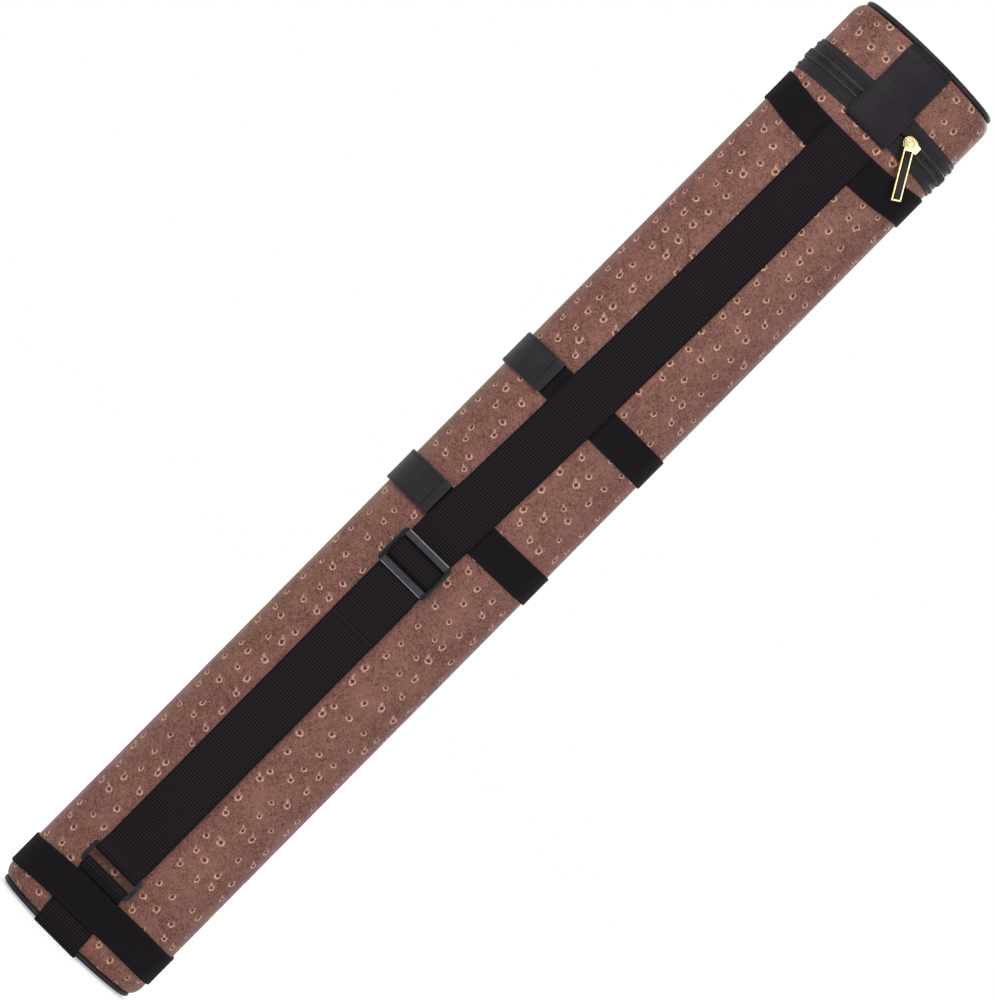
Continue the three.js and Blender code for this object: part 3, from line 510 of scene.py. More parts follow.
class Sig:
    """A value in a material, which grows nodes when it is reckoned with."""

    def __init__(self, book: "NodeBook", socket: bpy.types.NodeSocket) -> None:
        """Holds an output socket and the book that it belongs to."""
        self.book = book
        self.socket = socket

    __add__ = __radd__ = operator("ADD")
    __mul__ = __rmul__ = operator("MULTIPLY")
    __sub__, __rsub__ = operator("SUBTRACT"), operator("SUBTRACT", reflected=True)
    __truediv__, __rtruediv__ = operator("DIVIDE"), operator("DIVIDE", reflected=True)
    __pow__ = operator("POWER")
    most = operator("MAXIMUM")

    def __abs__(self) -> "Sig":
        """Drops the sign."""
        return self.book.math("ABSOLUTE", self)

    def beside(self, output: int | str) -> "Sig":
        """Returns another output of the same node."""
        return Sig(self.book, self.socket.node.outputs[output])

    def wave(self, period: float, phase: "Value" = 0.0) -> "Sig":
        """Returns a wave from 0 to 1 with this period."""
        return self.book.math("SINE", self * (math.tau / period) + phase) * 0.5 + 0.5

    def step(self, low: float, high: float) -> "Sig":
        """Makes a smooth step.

        Args:
            low: Where it is 0.
            high: Where it is 1, which may lie below low.

        Returns:
            The step.
        """
        settings = {"interpolation_type": "SMOOTHSTEP", "clamp": True}
        rising = float(high > low)
        inputs = {0: self, 1: min(low, high), 2: max(low, high), 3: 1.0 - rising, 4: rising}
        return self.book.node("ShaderNodeMapRange", settings, inputs)

    def band(self, middle: float, half: float) -> "Sig":
        """Returns 1 at a middle value, falling smoothly to 0 at half away."""
        return abs(self - middle).step(half, 0.0)


Value = Sig | float | Colour


class NodeBook:
    """The nodes of a material or of the world."""

    def __init__(self, owner: bpy.types.Material | bpy.types.World) -> None:
        """Starts with no nodes."""
        owner.use_nodes = True
        self.tree = owner.node_tree
        self.tree.nodes.clear()

    def node(self, kind: str, settings: dict, inputs: dict, output: int | str = 0) -> Sig:
        """Makes a node.

        Args:
            kind: The node's type.
            settings: Its properties, set first.
            inputs: The value or the link of each socket.
            output: The socket to return.

        Returns:
            The output, which is empty for a node that has none.
        """
        made = self.tree.nodes.new(kind)
        for key, value in settings.items():
            setattr(made, key, value)
        for key, value in inputs.items():
            socket = made.inputs[key]
            if isinstance(value, Sig):
                self.tree.links.new(value.socket, socket)
            elif isinstance(value, tuple):
                socket.default_value = (*value, 1.0)[: len(socket.default_value)]
            else:
                socket.default_value = value
        return Sig(self, made.outputs[output] if made.outputs else None)

    def math(self, operation: str, *values: Value) -> Sig:
        """Adds a Math node."""
        return self.node("ShaderNodeMath", {"operation": operation}, dict(enumerate(values)))

    def vector(self, operation: str, *values: Value, output: int | str = 0) -> Sig:
        """Adds a Vector Math node."""
        return self.node("ShaderNodeVectorMath", {"operation": operation}, dict(enumerate(values)), output)

    def scaled(self, vector: Sig, factor: float) -> Sig:
        """Returns a vector times a number."""
        return self.node("ShaderNodeVectorMath", {"operation": "SCALE"}, {0: vector, "Scale": factor})

    def split(self, vector: Sig) -> tuple[Sig, Sig, Sig]:
        """Returns a vector's three numbers."""
        made = self.node("ShaderNodeSeparateXYZ", {}, {0: vector})
        return made, made.beside(1), made.beside(2)

    def join(self, x: Value, y: Value, z: Value) -> Sig:
        """Makes a vector of three numbers."""
        return self.node("ShaderNodeCombineXYZ", {}, {0: x, 1: y, 2: z})

    @functools.cached_property
    def cut(self) -> Sig:
        """The piece's map of its cut, in millimetres."""
        return self.scaled(self.node("ShaderNodeUVMap", {"uv_map": "cut"}, {}), 1 / MM)

    @functools.cached_property
    def place(self) -> Sig:
        """The point on the object, in millimetres."""
        return self.scaled(self.node("ShaderNodeTexCoord", {}, {}, "Object"), 1 / MM)

    def noise(
        self, vector: Sig, size: float, detail: float = 2.0, roughness: float = 0.5, crinkle: float = 0.0
    ) -> Sig:
        """Makes a cloudy value, 0 to 1 about 0.5.

        Args:
            vector: Where it is read.
            size: The size of a cloud.
            detail: How many finer layers there are.
            roughness: How strong the finer layers are.
            crinkle: How far its clouds are drawn out into creases.

        Returns:
            The value.
        """
        inputs = {"Vector": vector, "Scale": 1 / size, "Detail": detail, "Roughness": roughness}
        return self.node("ShaderNodeTexNoise", {}, inputs | {"Distortion": crinkle}, "Fac")

    def mix(self, factor: Value, first: Value, second: Value) -> Sig:
        """Mixes two colours."""
        settings = {"data_type": "RGBA", "clamp_factor": True}
        return self.node("ShaderNodeMix", settings, {0: factor, 6: first, 7: second}, 2)

    def seen(self) -> Sig:
        """Returns 1 for what the camera sees, directly, in a reflection or through glass."""
        path = self.node("ShaderNodeLightPath", {}, {}, "Is Camera Ray")
        return path.most(path.beside("Is Glossy Ray")).most(path.beside("Is Transmission Ray"))


@dataclass(frozen=True)
class Finish:
    """A finish between a base colour and a worn or raised one, with a relief in millimetres."""

    name: str
    slot: Slot
    base: Colour
    worn: Colour
    shine: float
    relief: float
    strength: float = 0.7
    metallic: float = 0.0

    def paint(self, book: NodeBook) -> tuple[Sig, Value, Sig]:
        """Returns its colour, its roughness and its height."""
        raise NotImplementedError

    @functools.cached_property
    def material(self) -> bpy.types.Material:
        """The material, made when it is first used."""
        material = bpy.data.materials.new(self.name)
        book = NodeBook(material)
        colour, rough, height = self.paint(book)
        inputs = {"Height": height, "Distance": self.relief * MM, "Strength": self.strength}
        inputs = {"Normal": book.node("ShaderNodeBump", {}, inputs), "Base Color": colour}
        inputs |= {"Roughness": rough, "Metallic": self.metallic, "Specular IOR Level": self.shine}
        surface = book.node("ShaderNodeBsdfPrincipled", {}, inputs)
        book.node("ShaderNodeOutputMaterial", {}, {0: surface})
        return material


@dataclass(frozen=True)
class OstrichVinyl(Finish):
    """Vinyl pressed with a quill pattern. The closed side is where a quill's rim stands."""

    ground: Colour = srgb(104, 63, 55)
    pit: Colour = srgb(76, 35, 25)
    rim: Colour = srgb(240, 190, 162)
    spacing: float = 15.6
    scatter: float = 0.48
    closed: Pair = (-0.71, -0.70)

    def paint(self, book: NodeBook) -> tuple[Sig, Value, Sig]:
        """Paints the quills, each a pit with a rim and a wisp, on a specked and veined ground.

        Args:
            book: The material's nodes.

        Returns:
            The colour, the roughness and the height.
        """
        cut = book.cut
        near = book.scaled(cut, 1 / self.spacing)
        settings = {"voronoi_dimensions": "2D", "feature": "F1"}
        inputs = {"Vector": near, "Scale": 1.0, "Randomness": self.scatter}
        cell = book.node("ShaderNodeTexVoronoi", settings, inputs)
        offset = book.scaled(book.vector("SUBTRACT", near, cell.beside("Position")), self.spacing)
        chance, choice, lean = book.split(cell.beside("Color"))
        x, y, _ = book.split(offset)
        size = chance * 0.35 + 0.88
        toward = (x * self.closed[0] + y * self.closed[1]) / size
        aside = (x * -self.closed[1] + y * self.closed[0]) / size + toward * (lean - 0.5) * 0.5
        wobble = (book.noise(cut, 1.7, 3.0) - 0.5) * 2.3
        reach = (toward * toward + aside * aside) ** 0.5
        round_it = reach + wobble
        facing = toward / reach.most(0.4)
        rim = round_it.band(1.85, 0.85) * facing.step(-1.25, 0.15)
        pit = (reach * 1.1 + wobble * 0.8 - 0.2).step(1.4, 0.4)
        wisp = (abs(aside) + wobble).step(1.3, 0.3) * toward.step(-0.9, -1.6) * toward.step(-5.4, -2.4)
        wisp = wisp * choice.step(0.3, 0.7)
        swell = round_it.step(5.6, 1.0)
        fine = book.noise(cut, 1.0, 4.0, 0.65)
        crease = book.noise(cut, 2.4, 4.0, 0.62, 1.6)
        fan = book.noise(book.join(aside * 1.6, reach * 0.3, chance * 9.0), 0.9, 3.0, 0.6)
        cloud = book.noise(cut, 26.0, 3.0, 0.55)
        tone = fine * 0.32 + crease * 0.44 + fan * 0.24 + (cloud - 0.5) * 0.16
        speck = tone.step(0.42, 0.58)
        crinkle = book.noise(cut, 5.5, 3.0, 0.55, 1.4)
        veins = abs(crinkle * 2.0 - 1.0).step(0.16, 0.0) * fine.step(0.3, 0.55)
        layers = [(0.32, self.ground), (cloud.step(0.5, 0.85) * 0.25, self.worn), (veins * 0.7, self.worn)]
        layers += [(wisp * (fine.step(0.35, 0.6) * 0.6 + 0.15), self.rim)]
        layers += [(rim * (fine.step(0.3, 0.62) * 0.6 + 0.35), self.rim), (pit * 0.95, self.pit)]
        colour = book.mix(speck, self.base, self.worn)
        for share, over in layers:
            colour = book.mix(share, colour, over)
        height = swell * 0.5 + rim * 0.5 - pit + wisp * 0.2 + fine * 0.12 + crease * 0.3 + veins * 0.2
        return colour, 0.52 - speck * 0.1 - rim * 0.08, height


class Leatherette(Finish):
    """Leatherette with pores and creases."""

    def paint(self, book: NodeBook) -> tuple[Sig, Value, Sig]:
        """Paints the pores and creases, worn in clouds.

        Args:
            book: The material's nodes.

        Returns:
            The colour, the roughness and the height.
        """
        place = book.place
        settings = {"feature": "DISTANCE_TO_EDGE"}
        pores = book.node("ShaderNodeTexVoronoi", settings, {"Vector": place, "Scale": 0.85}, "Distance")
        cells = pores.step(0.0, 0.32)
        cloud, fine = book.noise(place, 16.0, 3.0), book.noise(place, 0.7, 3.0)
        crease = book.noise(place, 5.0, 4.0, 0.6, 2.2)
        colour = book.mix(cloud.step(0.4, 0.75) * 0.5 + fine * 0.3 + cells * 0.12, self.base, self.worn)
        return colour, cloud * 0.14 + 0.42 - cells * 0.05, cells * 0.5 + fine * 0.3 + crease * 1.1


class BandCloth(Finish):
    """Matt ribbon of the bands, ribbed finely across. The cut's x runs along it."""

    def paint(self, book: NodeBook) -> tuple[Sig, Value, Sig]:
        """Paints the ribs, the threads and a fuzz.

        Args:
            book: The material's nodes.

        Returns:
            The colour, the roughness and the height.
        """
        cut = book.cut
        x, y, _ = book.split(cut)
        ribs = x.wave(0.95, (book.noise(cut, 9.0) - 0.5) * 1.4)
        threads = y.wave(0.7, x.wave(1.9) * 1.6)
        fuzz, cloud = book.noise(cut, 0.5, 3.0), book.noise(cut, 20.0, 3.0)
        lift = ribs * (threads * 0.4 + 0.6)
        colour = book.mix(lift * 0.5 + fuzz * 0.3 + (cloud - 0.5) * 0.6, self.base, self.worn)
        return colour, 0.92 - lift * 0.08, lift + fuzz * 0.3


@dataclass(frozen=True)
class RibbedWebbing(Finish):
    """Webbing whose ribs cross it. The cut's x runs across and its y along."""

    pitch: float = 2.08

    def paint(self, book: NodeBook) -> tuple[Sig, Value, Sig]:
        """Paints the ribs and threads, flatter at the selvedges.

        Args:
            book: The material's nodes.

        Returns:
            The colour, the roughness and the height.
        """
        cut = book.cut
        x, y, _ = book.split(cut)
        ribs = y.wave(self.pitch, (book.noise(cut, 12.0) - 0.5) * 1.5)
        threads = x.wave(2.0, y.wave(self.pitch * 2) * 1.2)
        fuzz = book.noise(cut, 0.5, 3.0)
        edge = abs(x).step(16.8, 18.4)
        lift = ribs * (1.0 - edge * 0.6) * (threads * 0.45 + 0.55)
        colour = book.mix(lift * 0.75 + fuzz * 0.25 - 0.1, self.base, self.worn)
        return colour, 0.9 - lift * 0.12, lift + threads * 0.25 + fuzz * 0.15


class WovenTape(Finish):
    """Zipper tape, a plain close weave, with painted shade in the hollow beside the coil."""

    def paint(self, book: NodeBook) -> tuple[Sig, Value, Sig]:
        """Paints the weave, and a painted shade along the hollow beside the coil.

        Args:
            book: The material's nodes.

        Returns:
            The colour, the roughness and the height.
        """
        cut = book.cut
        x, y, _ = book.split(cut)
        weave = x.wave(0.8) * y.wave(0.6) + x.wave(0.8, math.pi) * y.wave(0.6, math.pi)
        fuzz = book.noise(cut, 0.6, 3.0)
        # Painted shade: the tape is darkened in a line each side of the coil, where the fold's hollow lies
        # in shadow.
        hollow_shade = abs(abs(y) - 5.9).step(2.0, 0.4) * 0.55
        colour = book.mix((weave * 0.5 + fuzz * 0.3) * (1.0 - hollow_shade), self.base, self.worn)
        return colour, 0.6 - weave * 0.1, weave + fuzz * 0.4


@dataclass(frozen=True)
class Moulded(Finish):
    """A moulded plastic with faint flow marks, matt or satin."""

    rough: float = 0.42

    def paint(self, book: NodeBook) -> tuple[Sig, Value, Sig]:
        """Returns its colour, its roughness and its height."""
        cloud, fine = book.noise(book.place, 9.0, 3.0), book.noise(book.place, 0.5, 3.0)
        colour = book.mix(cloud.step(0.35, 0.8) * 0.7 + fine * 0.2, self.base, self.worn)
        return colour, cloud * 0.12 + self.rough, fine


@dataclass(frozen=True)
class GroovedSlide(Finish):
    """Moulded slide: its outer bars are grooved lengthwise, painted lighter on the grooves as a painted
    reflection, and with painted highlights along their edges.
    """

    bar_from: float = 9.3
    bar_to: float = 15.1
    reach: float = 19.5

    def paint(self, book: NodeBook) -> tuple[Sig, Value, Sig]:
        """Paints the grooves, with a painted reflection on them, and painted highlights along the bars'
        rims and the side bars' outer edges.

        Args:
            book: The material's nodes.

        Returns:
            The colour, the roughness and the height.
        """
        cut = book.cut
        x, y, _ = book.split(cut)
        off = abs(y)
        along_bar = abs(x).step(self.reach, self.reach - 1.5)
        groove = (off - self.bar_from).wave(1.15, 1.2) * off.step(self.bar_from, self.bar_from + 0.8)
        groove = groove * off.step(self.bar_to - 1.0, self.bar_to - 1.8) * along_bar
        # Painted highlights: along the outer bars' rims, and (corner) along the side bars' outer edges.
        edge = off.step(self.bar_to - 1.5, self.bar_to - 0.7) * along_bar
        corner = abs(x).step(self.reach + 1.2, self.reach + 2.6)
        fine, rub = book.noise(cut, 0.5, 3.0), book.noise(cut, 4.0, 3.0)
        # Painted reflection on the grooves and painted highlights on the rims, varied at random by rub;
        # fine is the plastic's own speckle.
        painted_highlight = groove * 0.36 + edge * 0.85 + corner * 0.1 + fine * 0.06
        colour = book.mix(painted_highlight * (rub * 0.6 + 0.7), self.base, self.worn)
        return colour, rub * 0.1 + 0.33, groove + fine * 0.15


class GoldPlating(Finish):
    """Polished gold plating with fine rubbing marks."""

    def paint(self, book: NodeBook) -> tuple[Sig, Value, Sig]:
        """Returns its colour, its roughness and its height."""
        rub, fine = book.noise(book.place, 3.0, 4.0, 0.6), book.noise(book.place, 0.35, 2.0)
        return book.mix(rub.step(0.35, 0.7), self.base, self.worn), rub * 0.16 + 0.16, fine * 0.5 + rub


class Inlay(Finish):
    """Gloss inlay, bare."""

    def paint(self, book: NodeBook) -> tuple[Sig, Value, Sig]:
        """Returns its colour, its roughness and its height."""
        rub = book.noise(book.place, 2.0, 4.0)
        return book.mix(rub.step(0.5, 0.8) * 0.6, self.base, self.worn), rub * 0.2 + 0.18, rub


class FlockedFoam(Finish):
    """Foam with a flocked face."""

    def paint(self, book: NodeBook) -> tuple[Sig, Value, Sig]:
        """Returns its colour, its roughness and its height."""
        pile, cloud = book.noise(book.place, 0.8, 4.0, 0.7), book.noise(book.place, 14.0, 3.0)
        return book.mix(pile * 0.6 + cloud * 0.3 - 0.1, self.base, self.worn), 0.96 - pile * 0.05, pile


class Thread(Finish):
    """Twisted sewing thread."""

    def paint(self, book: NodeBook) -> tuple[Sig, Value, Sig]:
        """Returns its colour, its roughness and its height."""
        x, y, z = book.split(book.place)
        twist = (x + y + z * 1.4).wave(0.5)
        return book.mix(twist, self.base, self.worn), 0.7 - twist * 0.1, twist


VINYL = OstrichVinyl("ostrich_vinyl", Slot.VINYL, srgb(64, 29, 25), srgb(147, 101, 88), 0.25, 0.55)
LEATHERETTE = Leatherette("leatherette", Slot.LEATHERETTE, srgb(28, 24, 29), srgb(44, 40, 46), 0.17, 0.16)
PIPING = Leatherette("piping_leatherette", Slot.LEATHERETTE, srgb(22, 19, 21), srgb(60, 56, 59), 0.16, 0.16)
PANEL = Leatherette("panel_leatherette", Slot.LEATHERETTE, srgb(22, 17, 23), srgb(35, 29, 37), 0.15, 0.16)
BAND = BandCloth("band_cloth", Slot.LEATHERETTE, srgb(17, 13, 16), srgb(30, 26, 30), 0.1, 0.14)
WEBBING = RibbedWebbing("webbing", Slot.WEBBING, srgb(8, 5, 7), srgb(46, 40, 45), 0.12, 0.28, 0.9)
TAPE = WovenTape("zipper_tape", Slot.TAPE, srgb(17, 14, 17), srgb(43, 39, 44), 0.2, 0.16, 0.8)
COIL = Moulded("coil_plastic", Slot.COIL, srgb(31, 28, 31), srgb(58, 55, 60), 0.3, 0.03, rough=0.34)
BUCKLE = Moulded("buckle_plastic", Slot.BUCKLE, srgb(26, 28, 32), srgb(48, 51, 57), 0.14, 0.06, rough=0.38)
# The slide's pale second colour is the colour of its painted highlights and painted reflection.
SLIDE = GroovedSlide("slide_plastic", Slot.BUCKLE, srgb(16, 15, 18), srgb(124, 124, 130), 0.1, 0.3, 0.8)
TUBE = Moulded("tube_plastic", Slot.TUBE, srgb(30, 30, 32), srgb(46, 46, 49), 0.3, 0.05, rough=0.35)
BOARD = Moulded("shell_board", Slot.SHELL, srgb(44, 41, 41), srgb(60, 57, 56), 0.15, 0.2, rough=0.7)
GOLD = GoldPlating("gold_plating", Slot.GOLD, srgb(236, 214, 160), srgb(206, 176, 116), 0.5, 0.03, 0.6, 1.0)
INLAY = Inlay("black_inlay", Slot.INLAY, srgb(20, 17, 15), srgb(44, 38, 33), 0.15, 0.02, 0.5)
FOAM = FlockedFoam("flocked_foam", Slot.FOAM, srgb(34, 33, 36), srgb(58, 56, 60), 0.2, 0.4, 0.8)
THREAD = Thread("thread", Slot.LEATHERETTE, srgb(12, 10, 12), srgb(30, 27, 31), 0.12, 0.08, 0.8)


def add_object(name: str, data: bpy.types.ID) -> bpy.types.Object:
    """Makes an object of its data, and adds it to the scene."""
    made = bpy.data.objects.new(name, data)
    bpy.context.scene.collection.objects.link(made)
    return made


def publish(
    form: Form, name: str, body: str, finish: Finish, nodes: Sequence[str] = (), slot: Slot | None = None
) -> bpy.types.Object:
    """Turns a form into a piece that rides on a body.

    Args:
        form: The laid form, which is used up.
        name: The piece's name.
        body: The body that it rides on, or "" where it rides on none.
        finish: Its finish.
        nodes: The CAD nodes that it stands for.
        slot: The record's slot, where it isn't its finish's own; it is not used.

    Returns:
        The piece.
    """
    form.outward().bm.normal_update()
    for edge in form.bm.edges:
        edge.smooth = len(edge.link_faces) == 2 and edge.calc_face_angle(0.0) < SMOOTH_ANGLE
    for face in form.bm.faces:
        face.smooth = True
    mesh = bpy.data.meshes.new(name)
    form.bm.to_mesh(mesh)
    form.bm.free()
    mesh.materials.append(finish.material)
    piece = add_object(name, mesh)
    if body:
        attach(piece, body)
    if nodes:
        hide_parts(*nodes)
    log.info("%s: %d faces, on %s", name, len(mesh.polygons), body or "a blend")
    return piece


def dress_node(node: str, finish: Finish) -> None:
    """Gives a CAD node's object a finish."""
    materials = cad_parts[node].data.materials
    materials.clear()
    materials.append(finish.material)


def sew(
    name: str,
    rows: Iterable[tuple[Pair, Pair]],
    height: float,
    place: Lay,
    body: str = "case",
    slot: Slot = Slot.LEATHERETTE,
) -> bpy.types.Object:
    """Sews rows of stitches into a flat piece.

    Args:
        name: The name of the stitches.
        rows: The ends of each row on the flat piece.
        height: The height of the piece's face above z = 0.
        place: The lay of the piece.
        body: The body that it rides on, or "" where it rides on none.
        slot: The slot of the piece.

    Returns:
        The stitches, as one piece.
    """
    half, pitch = Vector((0.3 * MM, 1.15 * MM, 0.24 * MM)), 3.3 * MM
    places = []
    for start, end in rows:
        line = Vector(end) - Vector(start)
        count = max(1, round(line.length / pitch))
        turned = Matrix.Rotation(math.atan2(-line.x, line.y), 4, "Z")
        for index in range(count):
            spot = Vector(start) + line * ((index + 0.5) / count)
            places.append(Matrix.Translation((spot.x, spot.y, height)) @ turned)
    form = Form().take(loop_of(half, 6, 4), places).stamp().move(place)
    return publish(form, name, body, THREAD, slot=slot)


def box_rows(low: Pair, high: Pair, cross: bool = False) -> list[tuple[Pair, Pair]]:
    """Returns the rows of a sewn box, and of the cross in it."""
    corners = [low, (high[0], low[1]), high, (low[0], high[1])]
    rows = list(zip(corners, corners[1:] + corners[:1]))
    return rows + [(corners[0], corners[2]), (corners[1], corners[3])] if cross else rows


def end_curve(end: float, towards: float, steps: int = 6) -> list[Pair]:
    """Gives the line of a cover as it rounds in at an end.

    Args:
        end: The height of the cover's end.
        towards: 1 where the cover lies above its end, -1 where below.
        steps: Steps in the curve.

    Returns:
        Distance out and height of its points, from the straight side on.
    """
    inset, rise, turn = 3.6 * MM, 9 * MM, math.radians(65)
    line = []
    for step in range(steps + 1):
        angle = turn * step / steps
        share = (1 - math.cos(angle)) / (1 - math.cos(turn))
        line.append((-inset * share, end + towards * rise * (1 - math.sin(angle) / math.sin(turn))))
    return line


@dataclass
class Covers:
    """The vinyl covers of the body and the lid, their piping and their end panels."""

    edge: float = 1.1 * MM
    thickness: float = 1 * MM
    base_low: float = 6 * MM
    top_high: float = 852.3 * MM
    base_cord: Triple = (-5.5 * MM, 3.7 * MM, 2 * MM)
    top_cord: Triple = (-5.9 * MM, 854.8 * MM, 2.2 * MM)
    end_zone: float = 16 * MM
    end_step: float = 1.2 * MM
    step: float = 8 * MM

    def cover(self, name: str, node: str, corners: Sequence[Pair], body: str) -> None:
        """Makes one cover.

        Args:
            name: The piece's name.
            node: The CAD node that it replaces.
            corners: Its line of distance out and height, upwards.
            body: The body that it rides on.
        """
        route = Route(corners, 0.5 * MM, 2)
        marks = [0.0]
        while marks[-1] < route.length - 1 * MM:
            near_end = min(marks[-1], route.length - marks[-1]) < self.end_zone
            marks.append(min(marks[-1] + (self.end_step if near_end else self.step), route.length))
        marks[-1] = route.length
        rows = len(marks) - 1
        form = Form().sheet((0, 0), (SECTION.girth, rows), (120, rows))
        form.move(lambda spot: Vector((spot.x, marks[round(spot.y)], 0)))

        def lay(flat: Vector) -> Vector:
            """Follows the cover's line up and the oval round."""
            spot = route.at(flat.y) + route.normal(flat.y) * -flat.z
            return SECTION.point(flat.x, spot.x, spot.y)

        start = route.at(0).y
        form.stamp(lambda spot, normal: (spot.x, spot.y + start)).thicken(-self.thickness)
        publish(form.drop_ends().move(lay).weld(), name, body, VINYL, [node])

    def piping(self, name: str, node: str, cord: Triple, body: str) -> None:
        """Makes a round piping: a cord wrapped in leatherette.

        Args:
            name: The piece's name.
            node: The CAD node that it replaces.
            cord: The cord's distance out, height and radius.
            body: The body that it rides on.
        """
        out, height, radius = cord

        def lay(flat: Vector) -> Vector:
            """Rolls the sheet round the cord."""
            angle = -flat.y / radius
            return SECTION.point(flat.x, out + radius * math.cos(angle), height + radius * math.sin(angle))

        form = Form().sheet((0, 0), (SECTION.girth, math.tau * radius), (160, 14)).lay(lay)
        publish(form, name, body, PIPING, [node])

    def build(self) -> None:
        """Builds the covers and the pipings, and dresses the end panels."""
        body = end_curve(self.base_low, 1)[::-1] + [(0, SPLIT - self.edge)]
        self.cover("body_cover", "case_cover", body, "case")
        lid = [(0, SPLIT + self.edge)] + end_curve(self.top_high, -1)
        self.cover("top_cover", "lid_cover", lid, "lid")
        self.piping("base_cord", "base_piping", self.base_cord, "case")
        self.piping("top_cord", "lid_piping", self.top_cord, "lid")
        for node in ("base_panel", "lid_end_panel"):
            dress_node(node, LEATHERETTE)


@dataclass
class Bands:
    """The flat bands round the body, and the leatherette tabs that cover the middle ones' ends."""

    width: float = 25.5 * MM
    thickness: float = 1.3 * MM
    clearance: float = 0.3 * MM
    seam: float = 1.9 * MM
    tab_width: float = 27 * MM
    tab_thickness: float = 1.1 * MM
    tab_last: float = 21 * MM
    fold: float = 1.2 * MM
    fold_length: float = 9 * MM
    pinch: float = 0.35 * MM
    tab_seam: float = 2 * MM
    strap_foot: float = 7.5 * MM
    strap_layer: float = 1.7 * MM
    hump_half: float = 22.4 * MM
    hump_ramp: float = 3.2 * MM
    cross_half: float = 16.5 * MM
    cross_margin: float = 3.4 * MM
    softness: float = 0.12 * MM

    def band(self, name: str, height: float, bow: float, tilt: float, hump: float = 0.0) -> None:
        """Makes one band.

        Args:
            name: The CAD node that it replaces.
            height: Its middle's height.
            bow: How far it bows over the back.
            tilt: How far it tilts from side to side.
            hump: How far it lifts over the webbing under it.
        """
        rise = SECTION.girdle_rise(bow, tilt)
        half = self.width / 2
        over = SECTION.back(self.strap_foot)

        def lay(flat: Vector) -> Vector:
            """Lays the band round, over any webbing under it.

            Args:
                flat: A point on the flat band.

            Returns:
                Its place.
            """
            aside = abs((flat.x - over + SECTION.girth / 2) % SECTION.girth - SECTION.girth / 2)
            lift = hump * smooth((self.hump_half - aside) / self.hump_ramp)
            soft = self.softness * math.sin(flat.x * 410) * math.sin(flat.x * 173 + 1)
            out = self.clearance + flat.z + lift + soft * (flat.z / self.thickness)
            return SECTION.point(flat.x, out, height + flat.y + rise(flat.x))

        form = strip((0, -half), (SECTION.girth, half), 1.5 * MM, 6, self.thickness, 0.45 * MM, ring=True)
        publish(form.lay(lay), name + "_ribbon", "case", BAND, [name])
        edges = [side * (half - self.seam) for side in (-1, 1)]
        rows = [((0, edge), (SECTION.girth, edge)) for edge in edges]
        if hump:
            wide, tall = self.cross_half, half - self.cross_margin
            rows += box_rows((over - wide, -tall), (over + wide, tall), cross=True)
        sew(name + "_stitches", rows, self.thickness, lay)

    def tab(self, name: str, height: float, tilt: float, end: float) -> None:
        """Makes the tab that covers a band's ends, with its end folded double.

        Args:
            name: The CAD node that it replaces.
            height: Its middle's height.
            tilt: How far it tilts from side to side.
            end: Where its folded end is, in x on the back.
        """
        rise = SECTION.girdle_rise(0, tilt)
        first, last = SECTION.back(end), SECTION.front(self.tab_last)
        half = self.tab_width / 2
        inner = 2 * self.clearance + self.thickness

        def lay(flat: Vector) -> Vector:
            """Lays the tab round, thicker where it is folded double.

            Args:
                flat: A point on the flat tab.

            Returns:
                Its place.
            """
            share = smooth((first + self.fold_length + 0.5 * MM - flat.x) / (1 * MM))
            thick = flat.z / self.tab_thickness * self.fold * share
            narrower = self.pinch * (1 - smooth((flat.x - first) / (2.5 * MM))) / half
            up = height + flat.y * (1 - narrower) + rise(flat.x)
            return SECTION.point(flat.x, inner + flat.z + thick, up)

        form = strip((first, -half), (last, half), 1.5 * MM, 6, self.tab_thickness, 0.4 * MM)
        publish(form.lay(lay), name + "_leather", "case", LEATHERETTE, [name])
        low = (first + self.fold_length - 1.5 * MM, self.tab_seam - half)
        rows = box_rows(low, (last - self.tab_seam, half - self.tab_seam))
        sew(name + "_stitches", rows, self.tab_thickness, lay)

    def build(self) -> None:
        """Builds the four bands and the two tabs."""
        self.band("bottom_band", 29.6 * MM, 5.2 * MM, 2.1 * MM, self.strap_layer)
        self.band("lower_middle_band", LOWER_BAND, 0, 1 * MM)
        self.band("upper_middle_band", UPPER_BAND, 0, 0.8 * MM)
        self.band("top_band", 770.5 * MM, -7.8 * MM, 0)
        self.tab("lower_band_tab", LOWER_BAND, 1 * MM, 27 * MM)
        self.tab("upper_band_tab", UPPER_BAND, 0.8 * MM, 30 * MM)


